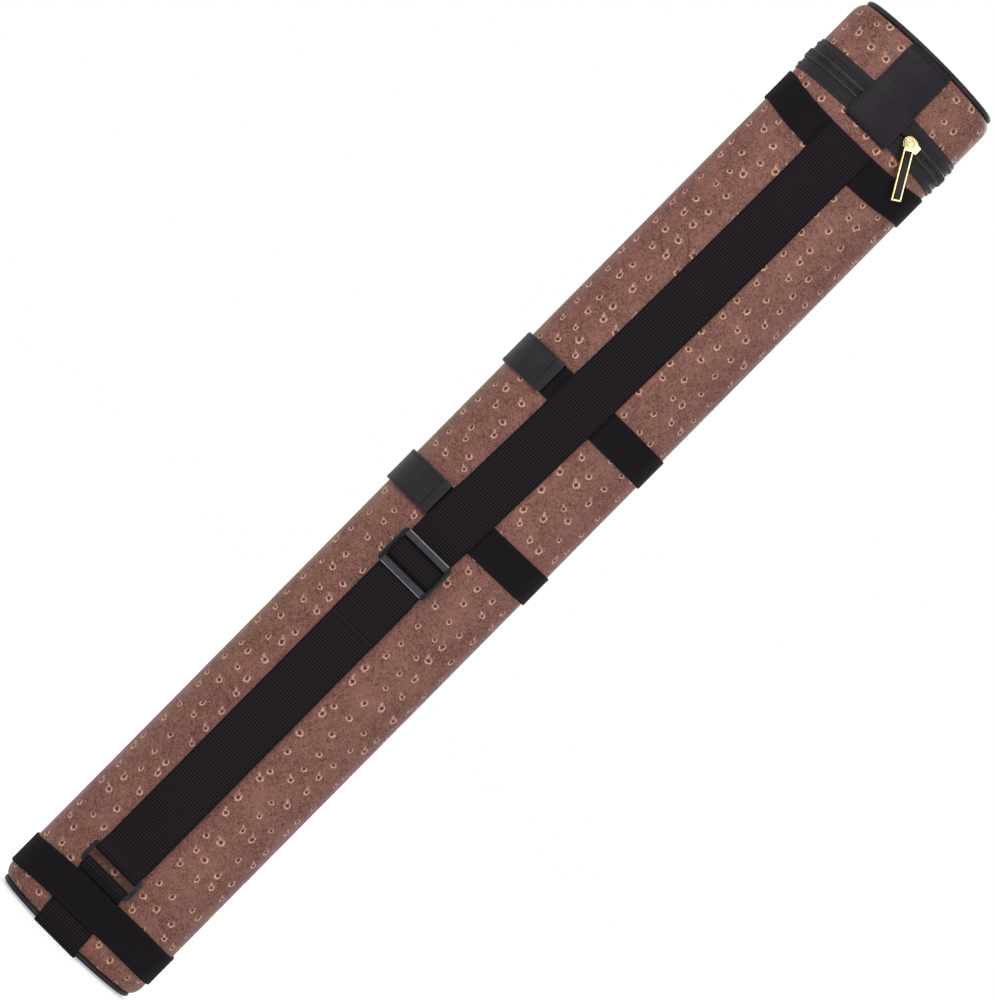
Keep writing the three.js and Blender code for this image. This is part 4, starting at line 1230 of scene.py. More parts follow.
@dataclass
class Zipper:
    """The zipper round the mouth, and the leatherette panel that hinges the lid."""

    gap: float = 0.8 * MM
    half_width: float = 13.5 * MM
    tape: float = 0.7 * MM
    clearance: float = 0.3 * MM
    fold_place: float = 9.6 * MM
    fold_half: float = 1.7 * MM
    fold_rise: float = 0.9 * MM
    coil_half: float = 3.5 * MM
    coil_out: float = 1.3 * MM
    coil_overlap: float = 0.25 * MM
    pitch: float = 1.6 * MM
    slider_gap: float = 7.75 * MM
    seam_size: Pair = (0.55 * MM, 0.75 * MM)
    seam_inset: float = 0.35 * MM
    panel_centre: float = -1.2 * MM
    panel_width: float = 36.8 * MM
    panel_thickness: float = 1.2 * MM

    def tape_side(self, side: str, towards: float, body: str) -> None:
        """Makes one side's tape, with the soft fold along its coil.

        Args:
            side: The side's name.
            towards: 1 for the lid's side, -1 for the body's.
            body: The body that it rides on.
        """
        low, high = sorted((towards * self.gap / 2, towards * self.half_width))
        form = strip((0, low), (SECTION.girth, high), 2 * MM, 22, self.tape, 0.2 * MM, ring=True)

        def lay(flat: Vector) -> Vector:
            """Lays the tape round, lifted along its fold.

            Args:
                flat: A point on the flat tape.

            Returns:
                Its place.
            """
            off = (abs(flat.y) - self.fold_place) / self.fold_half
            lift = self.fold_rise * max(0.0, 1 - off * off)
            wave = 0.1 * MM * math.sin(flat.x * 240 + towards)
            return SECTION.point(flat.x, self.clearance + flat.z + lift, SPLIT + flat.y + wave * lift / MM)

        publish(form.lay(lay), side + "_tape", body, TAPE, [body + "_zipper_tape"])

    def coil(self, side: str, towards: float, body: str) -> None:
        """Makes one side's coil: a row of rounded loops that reach past the middle between the other's.

        Args:
            side: The side's name.
            towards: 1 for the lid's side, -1 for the body's.
            body: The body that it rides on.
        """
        first = SECTION.back(MOUTH_SLIDER_X) - self.slider_gap
        last = SECTION.back(self.panel_centre + self.panel_width / 2) + 0.4 * MM - SECTION.girth
        start = 0.25 if towards > 0 else 0.75
        middle = towards * (self.coil_half - self.coil_overlap) / 2
        places = [
            Matrix.Translation((first - (index + start) * self.pitch, middle, self.coil_out + 0.5 * MM))
            for index in range(math.floor((first - last) / self.pitch))
        ]
        loop = loop_of(Vector((0.5 * MM, (self.coil_half + self.coil_overlap) / 2, 0.55 * MM)))
        half, thickness = self.seam_size
        seam = Form().sheet((last, -half), (first, half), (200, 2)).thicken(thickness)
        seam.round_edges(0.3 * MM).shift(0, towards * (self.coil_half - self.seam_inset), self.coil_out)
        form = Form().take(loop, places).take(seam).stamp()
        form.move(lambda flat: SECTION.point(flat.x, flat.z, SPLIT + flat.y))
        publish(form, side + "_coil", body, COIL, [body + "_zipper_teeth"])

    def panel(self) -> None:
        """Makes the hinge panel, which goes over both tapes and up the lid."""
        sides = [self.panel_centre + side * self.panel_width / 2 for side in (-1, 1)]
        left, right = map(SECTION.back, sides)
        near, over = 0.3 * MM, 2.2 * MM
        corners = [(near, SPLIT - 15.9 * MM), (over, SPLIT - 13.8 * MM), (over, SPLIT + 13.8 * MM)]
        corners += [(near, SPLIT + 19 * MM)]
        corners += [(out + near, up) for out, up in end_curve(SPLIT + 51 * MM, -1)]
        route = Route(corners, 2.4 * MM)

        def lay(flat: Vector) -> Vector:
            """Follows the panel's line, with its thickness outward.

            Args:
                flat: A point on the flat panel.

            Returns:
                Its place.
            """
            normal = route.normal(flat.y)
            normal = -normal if normal.x < 0 else normal
            spot = route.at(min(max(flat.y, 0), route.length)) + normal * flat.z
            return SECTION.point(flat.x, spot.x, spot.y)

        form = strip((left, 0), (right, route.length), 0.9 * MM, 14, self.panel_thickness, 0.35 * MM)
        piece = publish(form.lay(lay), "hinge_leather", "", PANEL, ["hinge_panel"])
        rows = box_rows((left + 2 * MM, 2 * MM), (right - 2 * MM, route.length - 4 * MM))
        stitches = sew("hinge_stitches", rows, self.panel_thickness, lay, body="")
        hinge = middle_of("hinge_panel")
        ends = [(hinge.x, hinge.y, SPLIT + side * 4 * MM) for side in (-1, 1)]
        for sewn in (piece, stitches):
            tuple(ends[0])
            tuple(ends[1])
            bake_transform(sewn)

    def build(self) -> None:
        """Builds both sides and the panel."""
        for make in (self.tape_side, self.coil):
            make("body", -1, "case")
            make("top", 1, "lid")
        self.panel()


@dataclass
class StrapLine:
    """Where the strap's middle runs across the back, and where the webbing lies flat."""

    foot: float = 8.7 * MM
    head: float = 0.5 * MM
    bend: float = 372.8 * MM
    top: float = 775.3 * MM
    ring_middle: float = 62.4 * MM
    ring_margin: float = 9.5 * MM
    ring_blend: float = 4.5 * MM
    base_low: float = 4 * MM
    base_high: float = 14 * MM
    slant: float = 3.5 * MM
    slant_top: float = 50 * MM

    def centre(self, height: float) -> float:
        """Returns the strap's middle, in x, at a height."""
        share = min(max((height - self.bend) / (self.top - self.bend), 0.0), 1.0)
        aside = self.slant * max(0.0, 1 - max(height, 0.0) / self.slant_top)
        return self.head + (self.foot - self.head) * (1 - share) ** 2 - aside

    def flatness(self, height: float) -> float:
        """Returns how far the webbing lies flat in place of bending to the back."""
        near_ring = 1 - (abs(height - self.ring_middle) - self.ring_margin) / self.ring_blend
        near_base = (self.base_high - height) / (self.base_high - self.base_low)
        return min(max(near_ring, near_base, 0.0), 1.0)

    def point(self, across: float, out: float, height: float, flat: float | None = None) -> Vector:
        """Finds a point on the strap.

        Args:
            across: The distance across, positive towards +X.
            out: The distance out from the vinyl.
            height: The height.
            flat: How flat it lies, 0 to 1; worked out from the height if left out.

        Returns:
            The point.
        """
        share = self.flatness(height) if flat is None else flat
        along = SECTION.back(self.centre(height))
        bent = SECTION.point(along + across, out, height)
        if share == 0:
            return bent
        normal = SECTION.outward(along)
        level = SECTION.point(along, out, height) + Vector((normal.y, -normal.x, 0)) * across
        return bent.lerp(level, share)

    def route_lay(self, route: Route, flat: Rise | None = None) -> Lay:
        """Lays webbing along a route.

        Args:
            route: The webbing's middle, as distance out and height.
            flat: How flat it lies at a height; its own flatness if left out.

        Returns:
            The lay: x goes across, y along the route and z through its thickness.
        """

        def lay(spot: Vector) -> Vector:
            """Follows the route, with the webbing's thickness square to it.

            Args:
                spot: A point on the flat webbing.

            Returns:
                Its place.
            """
            along = min(max(spot.y, 0), route.length)
            line = route.at(along)
            place = line + route.normal(along) * spot.z
            return self.point(spot.x, place.x, place.y, None if flat is None else flat(line.y))

        return lay


def frame_form(
    inner: float,
    outer: float,
    rows: Sequence[float],
    windows: Sequence[int],
    thickness: float,
    corner: float,
    bevel: float,
) -> Form:
    """Makes a flat frame with windows.

    Args:
        inner: Half the windows' width.
        outer: Half the frame's width.
        rows: The places of its grid's lines up.
        windows: The rows of the grid that are left open.
        thickness: The frame's thickness along z.
        corner: The radius of its outer corners.
        bevel: The rounding of its rims.

    Returns:
        The frame's form.
    """
    columns = [-outer, -inner, -inner / 2, 0, inner / 2, inner, outer]
    left_open = [(column, row) for column in range(1, 5) for row in windows]
    form = Form().grid(columns, rows, left_open).thicken(thickness).round_posts(corner, 5)
    rims = form.edges(SQUARE_ANGLE, lambda start, end: abs(start.z - end.z) < HAIR)
    return form.bevel(rims, bevel, 3)


def half_turn(
    out: float, height: float, radius: float, first: float, last: float, steps: int = 10
) -> list[Pair]:
    """Gives points round part of a circle, for webbing that rolls round a bar.

    Args:
        out: The circle's distance out.
        height: Its height.
        radius: Its radius.
        first: The angle that it starts at, in degrees.
        last: The angle that it ends at.
        steps: Steps in the turn.

    Returns:
        Distance out and height of each point.
    """
    angles = [math.radians(first + (last - first) * step / steps) for step in range(steps + 1)]
    return [(out + radius * math.cos(angle), height + radius * math.sin(angle)) for angle in angles]


@dataclass
class Strap:
    """The carrying strap on the back: keeper, ring, strap, its outer run, and the adjuster."""

    line: StrapLine = field(default_factory=StrapLine)
    width: float = 38 * MM
    thickness: float = 1.4 * MM
    inner: float = 1.0 * MM
    outer: float = 2.7 * MM
    over_bands: float = 2.6 * MM
    over_bar: float = 7.0 * MM
    roll_out: float = 4.15 * MM
    roll: float = 3.15 * MM
    ring_low: float = 55.6 * MM
    ring_high: float = 69.2 * MM
    bar: float = 2 * MM
    adjuster_at: float = 357.7 * MM
    run_low: float = 105.8 * MM
    run_high: float = 320 * MM

    def webbing(
        self, name: str, node: str, body: str, route: Route, flat: Rise | None = None, wider: float = 0.0
    ) -> bpy.types.Object:
        """Makes a run of webbing along a route.

        Args:
            name: The piece's name.
            node: The CAD node that it replaces.
            body: The body that it rides on.
            route: Its line of distance out and height.
            flat: How flat it lies at a height.
            wider: How much wider than the strap it is at each side, and half as much thicker.

        Returns:
            The piece.
        """
        half, thick = self.width / 2 + wider, self.thickness + wider / 2
        form = strip((-half, 0), (half, route.length), 1.1 * MM, 12, thick, 0.3 * MM)
        form.shift(0, 0, -thick / 2).lay(self.line.route_lay(route, flat))
        return publish(form, name, body, WEBBING, [node])

    def build_keeper(self) -> None:
        """Builds the keeper, which comes up from under the base and goes round the ring's lower bar."""
        path = [(-78 * MM, 0.7 * MM)] + half_turn(-5.5 * MM, 3.7 * MM, 3 * MM, -90, 0)
        path += [(0.32 * MM, 9.66 * MM)] + [(self.inner, up * MM) for up in (15, 48.4, 52.9)]
        path += half_turn(self.roll_out, self.ring_low, self.roll, 180, 0)
        path += [(self.roll_out + self.roll, 54.6 * MM), (self.outer, 49.5 * MM)]
        self.webbing("keeper_run", "keeper_webbing", "case", Route(path, 1 * MM))

    def build_strap(self) -> None:
        """Builds the strap from the top band down, and its stitches."""
        path = [(self.over_bands, 775.3 * MM), (self.over_bands, 748.45 * MM), (self.inner, 744.45 * MM)]
        for band in (UPPER_BAND, LOWER_BAND):
            path += [(self.inner, band + 18.25 * MM), (self.over_bands, band + 14.25 * MM)]
            path += [(self.over_bands, band - 14.25 * MM), (self.inner, band - 18.25 * MM)]
        path += [(self.inner, 76.4 * MM), (self.inner, 71.9 * MM)]
        path += half_turn(self.roll_out, self.ring_high, self.roll, -180, 0)
        path += [(self.roll_out + self.roll, 70.2 * MM)]
        path += [(self.outer, 76.4 * MM), (self.outer, self.run_low)]
        route = Route(path, 3 * MM)
        self.webbing("long_strap", "strap", "case", route)
        half = self.width / 2 - 3.2 * MM
        rows = []
        for first, last in ((3 * MM, 24 * MM), (251 * MM, 273 * MM), (366 * MM, 388 * MM)):
            rows += box_rows((-half, first), (half, last), cross=True)
        lay = self.line.route_lay(route)
        sew("strap_stitches", rows, self.thickness / 2, lay, slot=Slot.WEBBING)

    def build_outer_run(self) -> None:
        """Builds the outer run, whose upper end lies inside the adjuster's tail at rest."""
        route = Route([(self.outer, up) for up in (self.run_low, 200 * MM, self.run_high)], 1 * MM)
        run = self.webbing("outer_run", "strap_return_run", "case", route)
        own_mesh(run)

    def build_ring(self) -> None:
        """Builds the ring."""
        inner = self.width / 2 + 0.5 * MM
        low, high = self.ring_low - self.bar, self.ring_high + self.bar
        rows = [low, low + 2 * self.bar, (low + high) / 2, high - 2 * self.bar, high]
        form = frame_form(inner, inner + 3.4 * MM, rows, (1, 2), 2 * self.bar, 3.1 * MM, 1.1 * MM).stamp()
        near = self.roll_out - self.bar
        form.move(lambda spot: self.line.point(spot.x, near + spot.z, spot.y, 1.0))
        publish(form, "ring", "case", BUCKLE, ["strap_ring"])

    def build_adjuster(self) -> None:
        """Builds the adjuster's frame and the webbing that is sewn round its middle bar."""
        at, outer, over = self.adjuster_at, self.outer, self.over_bar
        inner = self.width / 2 + 0.25 * MM
        rows = [-15.1 * MM, -9.3 * MM, -2.2 * MM, 2.2 * MM, 9.3 * MM, 15.1 * MM]
        form = frame_form(inner, inner + 3.5 * MM, rows, (1, 3), 2.3 * MM, 4.6 * MM, 0.85 * MM).stamp()
        form.move(lambda spot: self.line.point(spot.x, 3.7 * MM + spot.z, at + spot.y, 1.0))
        publish(form, "adjuster_slide_frame", "adjuster", SLIDE, ["adjuster_frame"])

        path = [(outer, 14.8), (outer, 7.6), (over, 5.2), (over, -5.2), (outer, -7.6), (outer, -16.7)]
        path += [(outer, -23.7), (outer, -61.7)]
        route = Route([(out, at + up * MM) for out, up in path], 1.4 * MM)

        def flat(height: float) -> float:
            """Lies flat in the frame, and bends to the back below it."""
            return min(max((height - (at - 23.7 * MM)) / (7 * MM), 0.0), 1.0)

        self.webbing("adjuster_tail", "adjuster_webbing", "adjuster", route, flat, 0.2 * MM)
        half = self.width / 2 - 3 * MM
        rows = box_rows((-half, 66 * MM), (half, 77 * MM), cross=True)
        lay = self.line.route_lay(route, flat)
        sew("adjuster_stitches", rows, self.thickness / 2, lay, "adjuster", Slot.WEBBING)

    def build(self) -> None:
        """Builds every piece of the strap."""
        self.build_keeper()
        self.build_strap()
        self.build_outer_run()
        self.build_ring()
        self.build_adjuster()


@dataclass
class Seat:
    """A flat seat on the case: its point on the vinyl, and its directions across, up and out."""

    along: float
    height: float
    shift: float = 0.0
    swing: float = 0.0

    def lay(self) -> Lay:
        """Returns the lay onto the seat: x goes across, y up and z out, turned by its swing."""
        normal = SECTION.outward(self.along)
        across = Vector((normal.y, -normal.x, 0))
        origin = SECTION.point(self.along, 0, self.height) + across * self.shift
        cos, sin = math.cos(self.swing), math.sin(self.swing)

        def place(flat: Vector) -> Vector:
            """Turns the flat point and sets it on the seat."""
            x, y = flat.x * cos + flat.y * sin, flat.y * cos - flat.x * sin
            return origin + across * x + Vector((0, 0, y)) + normal * flat.z

        return place


@dataclass(frozen=True)
class Pull:
    """A flat metal pull: an eye round the crown's post and a straight tongue."""

    length: float
    width: float
    eye: float
    thickness: float
    hole: float = 1.9 * MM
    bevel: float = 0.3 * MM

    def ring(self) -> Form:
        """Makes the eye: a squarish section spun round the post."""
        ring = Form()
        verts = bmesh.ops.create_circle(ring.bm, cap_ends=False, segments=12, radius=1)["verts"]
        half = Vector(((self.eye - self.hole) / 2, self.thickness / 2))
        for vert in verts:
            x, y = (math.copysign(abs(value) ** 0.5, value) for value in vert.co.xy)
            vert.co = Vector(((self.eye + self.hole) / 2 + half.x * x, 0, half.y * (1 + y)))
        return ring.spin(ring.bm.verts[:] + ring.bm.edges[:], 32)

    def tongue(self, recess: tuple[float, float, float, float] | None) -> Form:
        """Makes the tongue.

        Args:
            recess: Half the width, the start, the length and the depth of a hollow in its face.

        Returns:
            The tongue's form.
        """
        top = -math.sqrt(self.eye**2 - (self.width / 2) ** 2) + 0.9 * MM
        half = self.width / 2
        if not recess:
            tongue = Form().sheet((-half, -self.length), (half, top), (2, 6)).thicken(self.thickness)
            return tongue.round_edges(self.bevel)
        half_hollow, start, length, depth = recess
        rows = [-self.length, -start - length, -start, top]
        tongue = Form().grid([-half, -half_hollow, half_hollow, half], rows).thicken(self.thickness)
        centres = [(face, face.calc_center_median()) for face in tongue.bm.faces if face.normal.z > 0.9]
        floor = [
            face for face, spot in centres if abs(spot.x) < half_hollow / 2 and rows[1] < spot.y < rows[2]
        ]
        tongue.extrude(floor, -depth)
        bmesh.ops.delete(tongue.bm, geom=floor, context="FACES")
        return tongue.round_edges(self.bevel)

    def form(self, near: float, recess: tuple[float, float, float, float] | None = None) -> Form:
        """Returns the pull about its eye, at a distance out, with a recess in its tongue if given."""
        return Form().take(self.ring()).take(self.tongue(recess)).shift(0, 0, near).stamp()


@dataclass(frozen=True)
class Slider:
    """A zipper's slider: a plate, its flanges over the coil, and a crown on which its pull turns."""

    length: float
    wide: float
    nose: float
    plate: float
    crown_at: float
    crown_radius: float = 3.1 * MM
    corner: float = 0.8 * MM

    def outline(self, spot: Vector) -> Vector:
        """Narrows the plate to its nose and rounds its other end.

        Args:
            spot: A point on a plate from -1 to 1 across.

        Returns:
            Its place.
        """
        half = self.length / 2
        grown = self.nose + (self.wide - self.nose) * smooth((spot.x + half * 0.75) / (half * 0.9))
        past = spot.x - (half - self.wide)
        if past > 0:
            grown = math.sqrt(max(self.wide**2 - past**2, (0.3 * MM) ** 2))
        left = self.corner - (spot.x + half)
        if left > 0:
            grown -= self.corner - math.sqrt(max(self.corner**2 - left**2, 0))
        return Vector((spot.x, spot.y * grown, 0))

    def form(
        self, low: float, pull: float, flange_low: float, flange_at: float, sides: Sequence[int]
    ) -> Form:
        """Makes the slider lengthwise along x.

        Args:
            low: The plate's distance out.
            pull: The pull's thickness, with its play.
            flange_low: The flanges' distance out.
            flange_at: The flanges' distance from the middle.
            sides: The sides that have a flange.

        Returns:
            The slider's form.
        """
        half, top = self.length / 2, low + self.plate
        plate = Form().sheet((-half, -1), (half, 1), (22, 6)).move(self.outline).thicken(self.plate)
        form = Form().take(plate.round_edges(self.plate * 0.28, 3).shift(0, 0, low))
        post = Form()
        radii = {"radius1": 1.7 * MM, "radius2": 1.5 * MM}
        bmesh.ops.create_cone(post.bm, cap_ends=True, segments=24, depth=pull + 1 * MM, **radii)
        form.take(post.shift(self.crown_at, 0, top + pull / 2))
        head = Form()
        bmesh.ops.create_uvsphere(head.bm, u_segments=28, v_segments=14, radius=self.crown_radius)
        head.move(lambda spot: Vector((spot.x, spot.y, spot.z * (0.42 if spot.z > 0 else 0.2))))
        form.take(head.shift(self.crown_at, 0, top + pull + 0.25 * MM))
        for side in sides:
            flange = bar(Vector((half * 0.45, 0.35 * MM, (low - flange_low) / 2 + 0.1 * MM)), 0.2 * MM)
            form.take(flange.shift(half * 0.15, side * flange_at, (low + flange_low) / 2 + 0.1 * MM))
        return form.stamp()


@dataclass
class Sliders:
    """The gold sliders and pulls of the mouth and of the two pockets."""

    slider: Slider = Slider(14.3 * MM, 4.7 * MM, 3.2 * MM, 1.3 * MM, 2.45 * MM)
    pull: Pull = Pull(41 * MM, 7.4 * MM, 4.4 * MM, 1.8 * MM)
    recess: tuple[float, float, float, float] = (2.55 * MM, 5.6 * MM, 34.2 * MM, 0.7 * MM)
    inlay_half: Triple = (2.5 * MM, 17.05 * MM, 0.3 * MM)
    swing: float = math.radians(33)
    pocket_slider: Slider = Slider(11 * MM, 4 * MM, 3.4 * MM, 1.2 * MM, 0)
    pocket_pull: Pull = Pull(26 * MM, 5 * MM, 3.4 * MM, 1.4 * MM)
    pocket_across: float = 22 * MM

    def mouth(self) -> None:
        """Builds the mouth's slider, its long pull and the pull's black inlay."""
        seat = Seat(SECTION.back(MOUTH_SLIDER_X), SPLIT)
        form = self.slider.form(3.0 * MM, 2.4 * MM, 1.3 * MM, -4.35 * MM, [1]).move(seat.lay())
        publish(form, "mouth_slider", "slider", GOLD, ["zipper_slider"])
        swung = Seat(seat.along, SPLIT, self.slider.crown_at, self.swing).lay()
        form = self.pull.form(4.6 * MM, self.recess).move(swung)
        publish(form, "mouth_pull", "pull", GOLD, ["zipper_pull"])
        inlay = bar(Vector(self.inlay_half), 0.16 * MM).shift(0, -22.7 * MM, 6.1 * MM)
        publish(inlay.stamp().move(swung), "mouth_pull_inlay", "pull", INLAY, ["zipper_pull_inset"])

    def pocket(self, which: str, top: float) -> None:
        """Builds a pocket's slider and pull.

        Args:
            which: The pocket's name.
            top: The height of the slider's middle.
        """
        seat = Seat(SECTION.girth / 2, top, self.pocket_across).lay()
        form = self.pocket_slider.form(23 * MM, 2.0 * MM, 21.3 * MM, 3.15 * MM, [1, -1])
        form.move(lambda spot: seat(Vector((-spot.y, spot.x, spot.z))))
        body = which + "_pocket_slider"
        publish(form, which + "_slider", body, GOLD, [body])
        body = which + "_pocket_pull"
        form = self.pocket_pull.form(24.5 * MM).move(seat)
        publish(form, which + "_pull", body, GOLD, [body])

    def build(self) -> None:
        """Builds all three."""
        self.mouth()
        self.pocket("lower", 348 * MM)
        self.pocket("upper", 712 * MM)


@dataclass
class Handle:
    """The padded handle on the front, and the two patches that carry it."""

    half_width: float = 14 * MM
    half_thickness: float = 4.5 * MM
    foot: float = 4.7 * MM
    rise: float = 31.3 * MM
    middle: float = 457.5 * MM
    half_span: float = 53.4 * MM
    rise_shares: tuple[float, ...] = (0, 0.3, 0.68, 0.94, 1, 0.94, 0.68, 0.3, 0)
    length_shares: tuple[float, ...] = (-1, -0.96, -0.8, -0.46, 0, 0.46, 0.8, 0.96, 1)
    around: int = 40
    crown: float = 0.05
    stitch_shares: Pair = (0.72, 0.87)
    stitch_margin: float = 9 * MM
    patch_half: Pair = (14 * MM, 13 * MM)
    patch_thickness: float = 2.5 * MM
    patch_out: float = 1.9 * MM
    seam: float = 2 * MM

    def grip(self) -> None:
        """Makes the grip: a flat padded roll that arches between the patches."""
        shares = zip(self.rise_shares, self.length_shares)
        corners = [(self.foot + self.rise * up, self.middle + self.half_span * far) for up, far in shares]
        route = Route(corners, 9 * MM, 6)

        def face(flat: Vector) -> Vector:
            """Lays a point at a distance across the grip, along it and out from its middle."""
            spot = route.at(min(max(flat.y, 0), route.length)) - route.normal(flat.y) * flat.z
            return SECTION.point(SECTION.girth / 2, spot.x, spot.y) + Vector((flat.x, 0, 0))

        def lay(flat: Vector) -> Vector:
            """Rolls the sheet to a flat padded section along the arch.

            Args:
                flat: A point on the sheet.

            Returns:
                Its place.
            """
            angle = math.tau * flat.x / self.around
            crown = 1 - self.crown * math.cos(flat.y / route.length * math.tau * 2)
            x = self.half_width * math.copysign(abs(math.cos(angle)) ** 0.6, math.cos(angle))
            off = self.half_thickness * crown * math.copysign(abs(math.sin(angle)) ** 0.75, math.sin(angle))
            return face(Vector((-x, flat.y, -off)))

        form = Form().sheet((0, 0), (self.around, route.length), (self.around, 60)).lay(lay)
        rims = [edge for edge in form.bm.edges if edge.is_boundary]
        bmesh.ops.holes_fill(form.bm, edges=rims, sides=0)
        piece = publish(form, "grip", "case", LEATHERETTE, ["handle_grip"])
        edge, margin = self.half_width * self.stitch_shares[0], self.stitch_margin
        rows = [((side * edge, margin), (side * edge, route.length - margin)) for side in (-1, 1)]
        for name, side in (("grip_stitches", 1), ("grip_inner_stitches", -1)):
            sew(name, rows, side * self.half_thickness * self.stitch_shares[1], face)

    def patch(self, name: str, height: float) -> None:
        """Makes one patch, sewn over a band.

        Args:
            name: The CAD node that it replaces.
            height: Its middle's height.
        """
        middle, (half, tall) = SECTION.girth / 2, self.patch_half

        def lay(flat: Vector) -> Vector:
            """Lays the patch over the band."""
            return SECTION.point(flat.x, self.patch_out + flat.z, height + flat.y)

        low, high = (middle - half, -tall), (middle + half, tall)
        form = strip(low, high, 2 * MM, 12, self.patch_thickness, 0.7 * MM)
        publish(form.lay(lay), name + "_leather", "case", LEATHERETTE, [name])
        half, tall = half - self.seam, tall - self.seam
        rows = box_rows((middle - half, -tall), (middle + half, tall), cross=True)
        sew(name + "_stitches", rows, self.patch_thickness, lay)

    def build(self) -> None:
        """Builds the grip and both patches."""
        self.grip()
        self.patch("handle_patch_lower", LOWER_BAND)
        self.patch("handle_patch_upper", UPPER_BAND)


@dataclass
class Pocket:
    """A zipped pocket on the front."""

    which: str
    low: float
    high: float
    half_width: float = 42 * MM
    depth: float = 20 * MM
    corner: float = 12 * MM
    rim: float = 3.5 * MM
    margin: float = 6 * MM
    cord_radius: float = 1.7 * MM
    cord_out: float = 1.1 * MM
    cord_sink: float = 1.8 * MM
    zip_at: float = 22 * MM
    seam: Pair = (9.4 * MM, 17.6 * MM)
    tape: Pair = (11 * MM, 16 * MM)
    coil_margin: float = 21 * MM
    coil_pitch: float = 1.5 * MM
    coil_aside: float = 1.1 * MM

    def place(self, x: float, out: float, height: float) -> Vector:
        """Returns the point at x towards the left of the front, out from its middle, and at a height."""
        return SECTION.point(SECTION.girth / 2, out, height) + Vector((-x, 0, 0))

    def unfold(self, spot: Vector, normal: Vector) -> Pair:
        """Unfolds the gusset flat about the front.

        Args:
            spot: A point on the pocket.
            normal: Its face's normal.

        Returns:
            Its place on the cut.
        """
        aside = abs(normal.z) < 0.5
        across = math.copysign(aside and abs(normal.x) >= abs(normal.y), normal.x)
        upward = math.copysign(aside and abs(normal.x) < abs(normal.y), normal.y)
        fall = self.depth - spot.z
        return spot.x + across * fall, spot.y + upward * fall

    def lay(self, spot: Vector) -> Vector:
        """Sets the back on the case and swells the front.

        Args:
            spot: A point on the flat pocket.

        Returns:
            Its place.
        """
        share = spot.z / self.depth
        drop = SECTION.wide_radius - math.sqrt(SECTION.wide_radius**2 - spot.x * spot.x)
        near = 0.3 * MM - drop
        up = (spot.y - (self.high + self.low) / 2) / ((self.high - self.low) / 2)
        swell = (1 - (spot.x / self.half_width) ** 2) * (1 - up**4)
        out = near + (self.depth - near) * share - 0.1 * MM * share
        return self.place(spot.x, out - 0.4 * MM * (1 - swell) * share, spot.y)

    def bag(self) -> None:
        """Makes the pocket's padded front and gusset."""
        form = Form().sheet((-self.half_width, self.low), (self.half_width, self.high), (8, 24))
        form.thicken(self.depth).round_posts(self.corner, 6)
        rims = form.edges(SQUARE_ANGLE, lambda start, end: min(start.z, end.z) > self.depth - HAIR)
        form.bevel(rims, self.rim, 4)
        name = self.which + "_pocket"
        publish(form.stamp(self.unfold).move(self.lay), name + "_bag", "case", VINYL, [name])
        low = (self.margin - self.half_width, self.low + self.margin)
        rows = box_rows(low, (self.half_width - self.margin, self.high - self.margin))
        sew(name + "_stitches", rows, self.depth, self.lay, slot=Slot.VINYL)

    def piping(self) -> None:
        """Makes the piping that edges the pocket's front."""
        half, low, high, radius = self.half_width, self.low, self.high, self.cord_radius
        corners = [(0, low), (half, low), (half, high), (-half, high), (-half, low)]
        route = Route(corners + corners[:1], self.corner, 8)

        def lay(flat: Vector) -> Vector:
            """Rolls the sheet round the cord, which runs round the pocket."""
            angle = flat.y / radius
            spot = route.at(flat.x) + route.normal(flat.x) * (self.cord_out + radius * math.cos(angle))
            return self.place(spot.x, self.depth - self.cord_sink + radius * math.sin(angle), spot.y)

        form = Form().sheet((0, 0), (route.length, math.tau * radius), (220, 10)).lay(lay, 0.05 * MM)
        publish(form, self.which + "_pocket_piping", "case", PIPING)

    def zipper(self) -> None:
        """Makes the zipper's tape and coil, flat on the pocket, and the tape's stitches."""
        name = self.which + "_pocket"
        half, margin = self.seam
        rows = box_rows((self.zip_at - half, self.low + margin), (self.zip_at + half, self.high - margin))

        def lay(near: float) -> Lay:
            """Returns the lay onto the pocket at a distance out."""
            return lambda spot: self.place(spot.x, near + spot.z, spot.y)

        sew(name + "_tape_stitches", rows, 21.0 * MM, lay(0.0), slot=Slot.TAPE)
        half, margin = self.tape
        low, high = (self.zip_at - half, self.low + margin), (self.zip_at + half, self.high - margin)
        form = strip(low, high, 4 * MM, 12, 0.7 * MM, 0.25 * MM).stamp().move(lay(20.3 * MM))
        publish(form, name + "_band", "case", TAPE, [name + "_tape"])
        low, high = self.low + self.coil_margin, self.high - self.coil_margin
        turned = Matrix.Rotation(math.pi / 2, 4, "Z")
        places = []
        for index in range(math.floor((high - low) / self.coil_pitch)):
            for side in (-1, 1):
                up = low + (index + side / 4 + 0.5) * self.coil_pitch
                spot = (self.zip_at + side * self.coil_aside, up, 0.5 * MM)
                places.append(Matrix.Translation(spot) @ turned)
        form = Form().take(loop_of(Vector((0.4 * MM, 1.35 * MM, 0.5 * MM))), places)
        publish(form.stamp().move(lay(21.3 * MM)), name + "_loops", "case", COIL, [name + "_coil"])

    def build(self) -> None:
        """Builds the pocket and its zipper."""
        self.bag()
        self.piping()
        self.zipper()


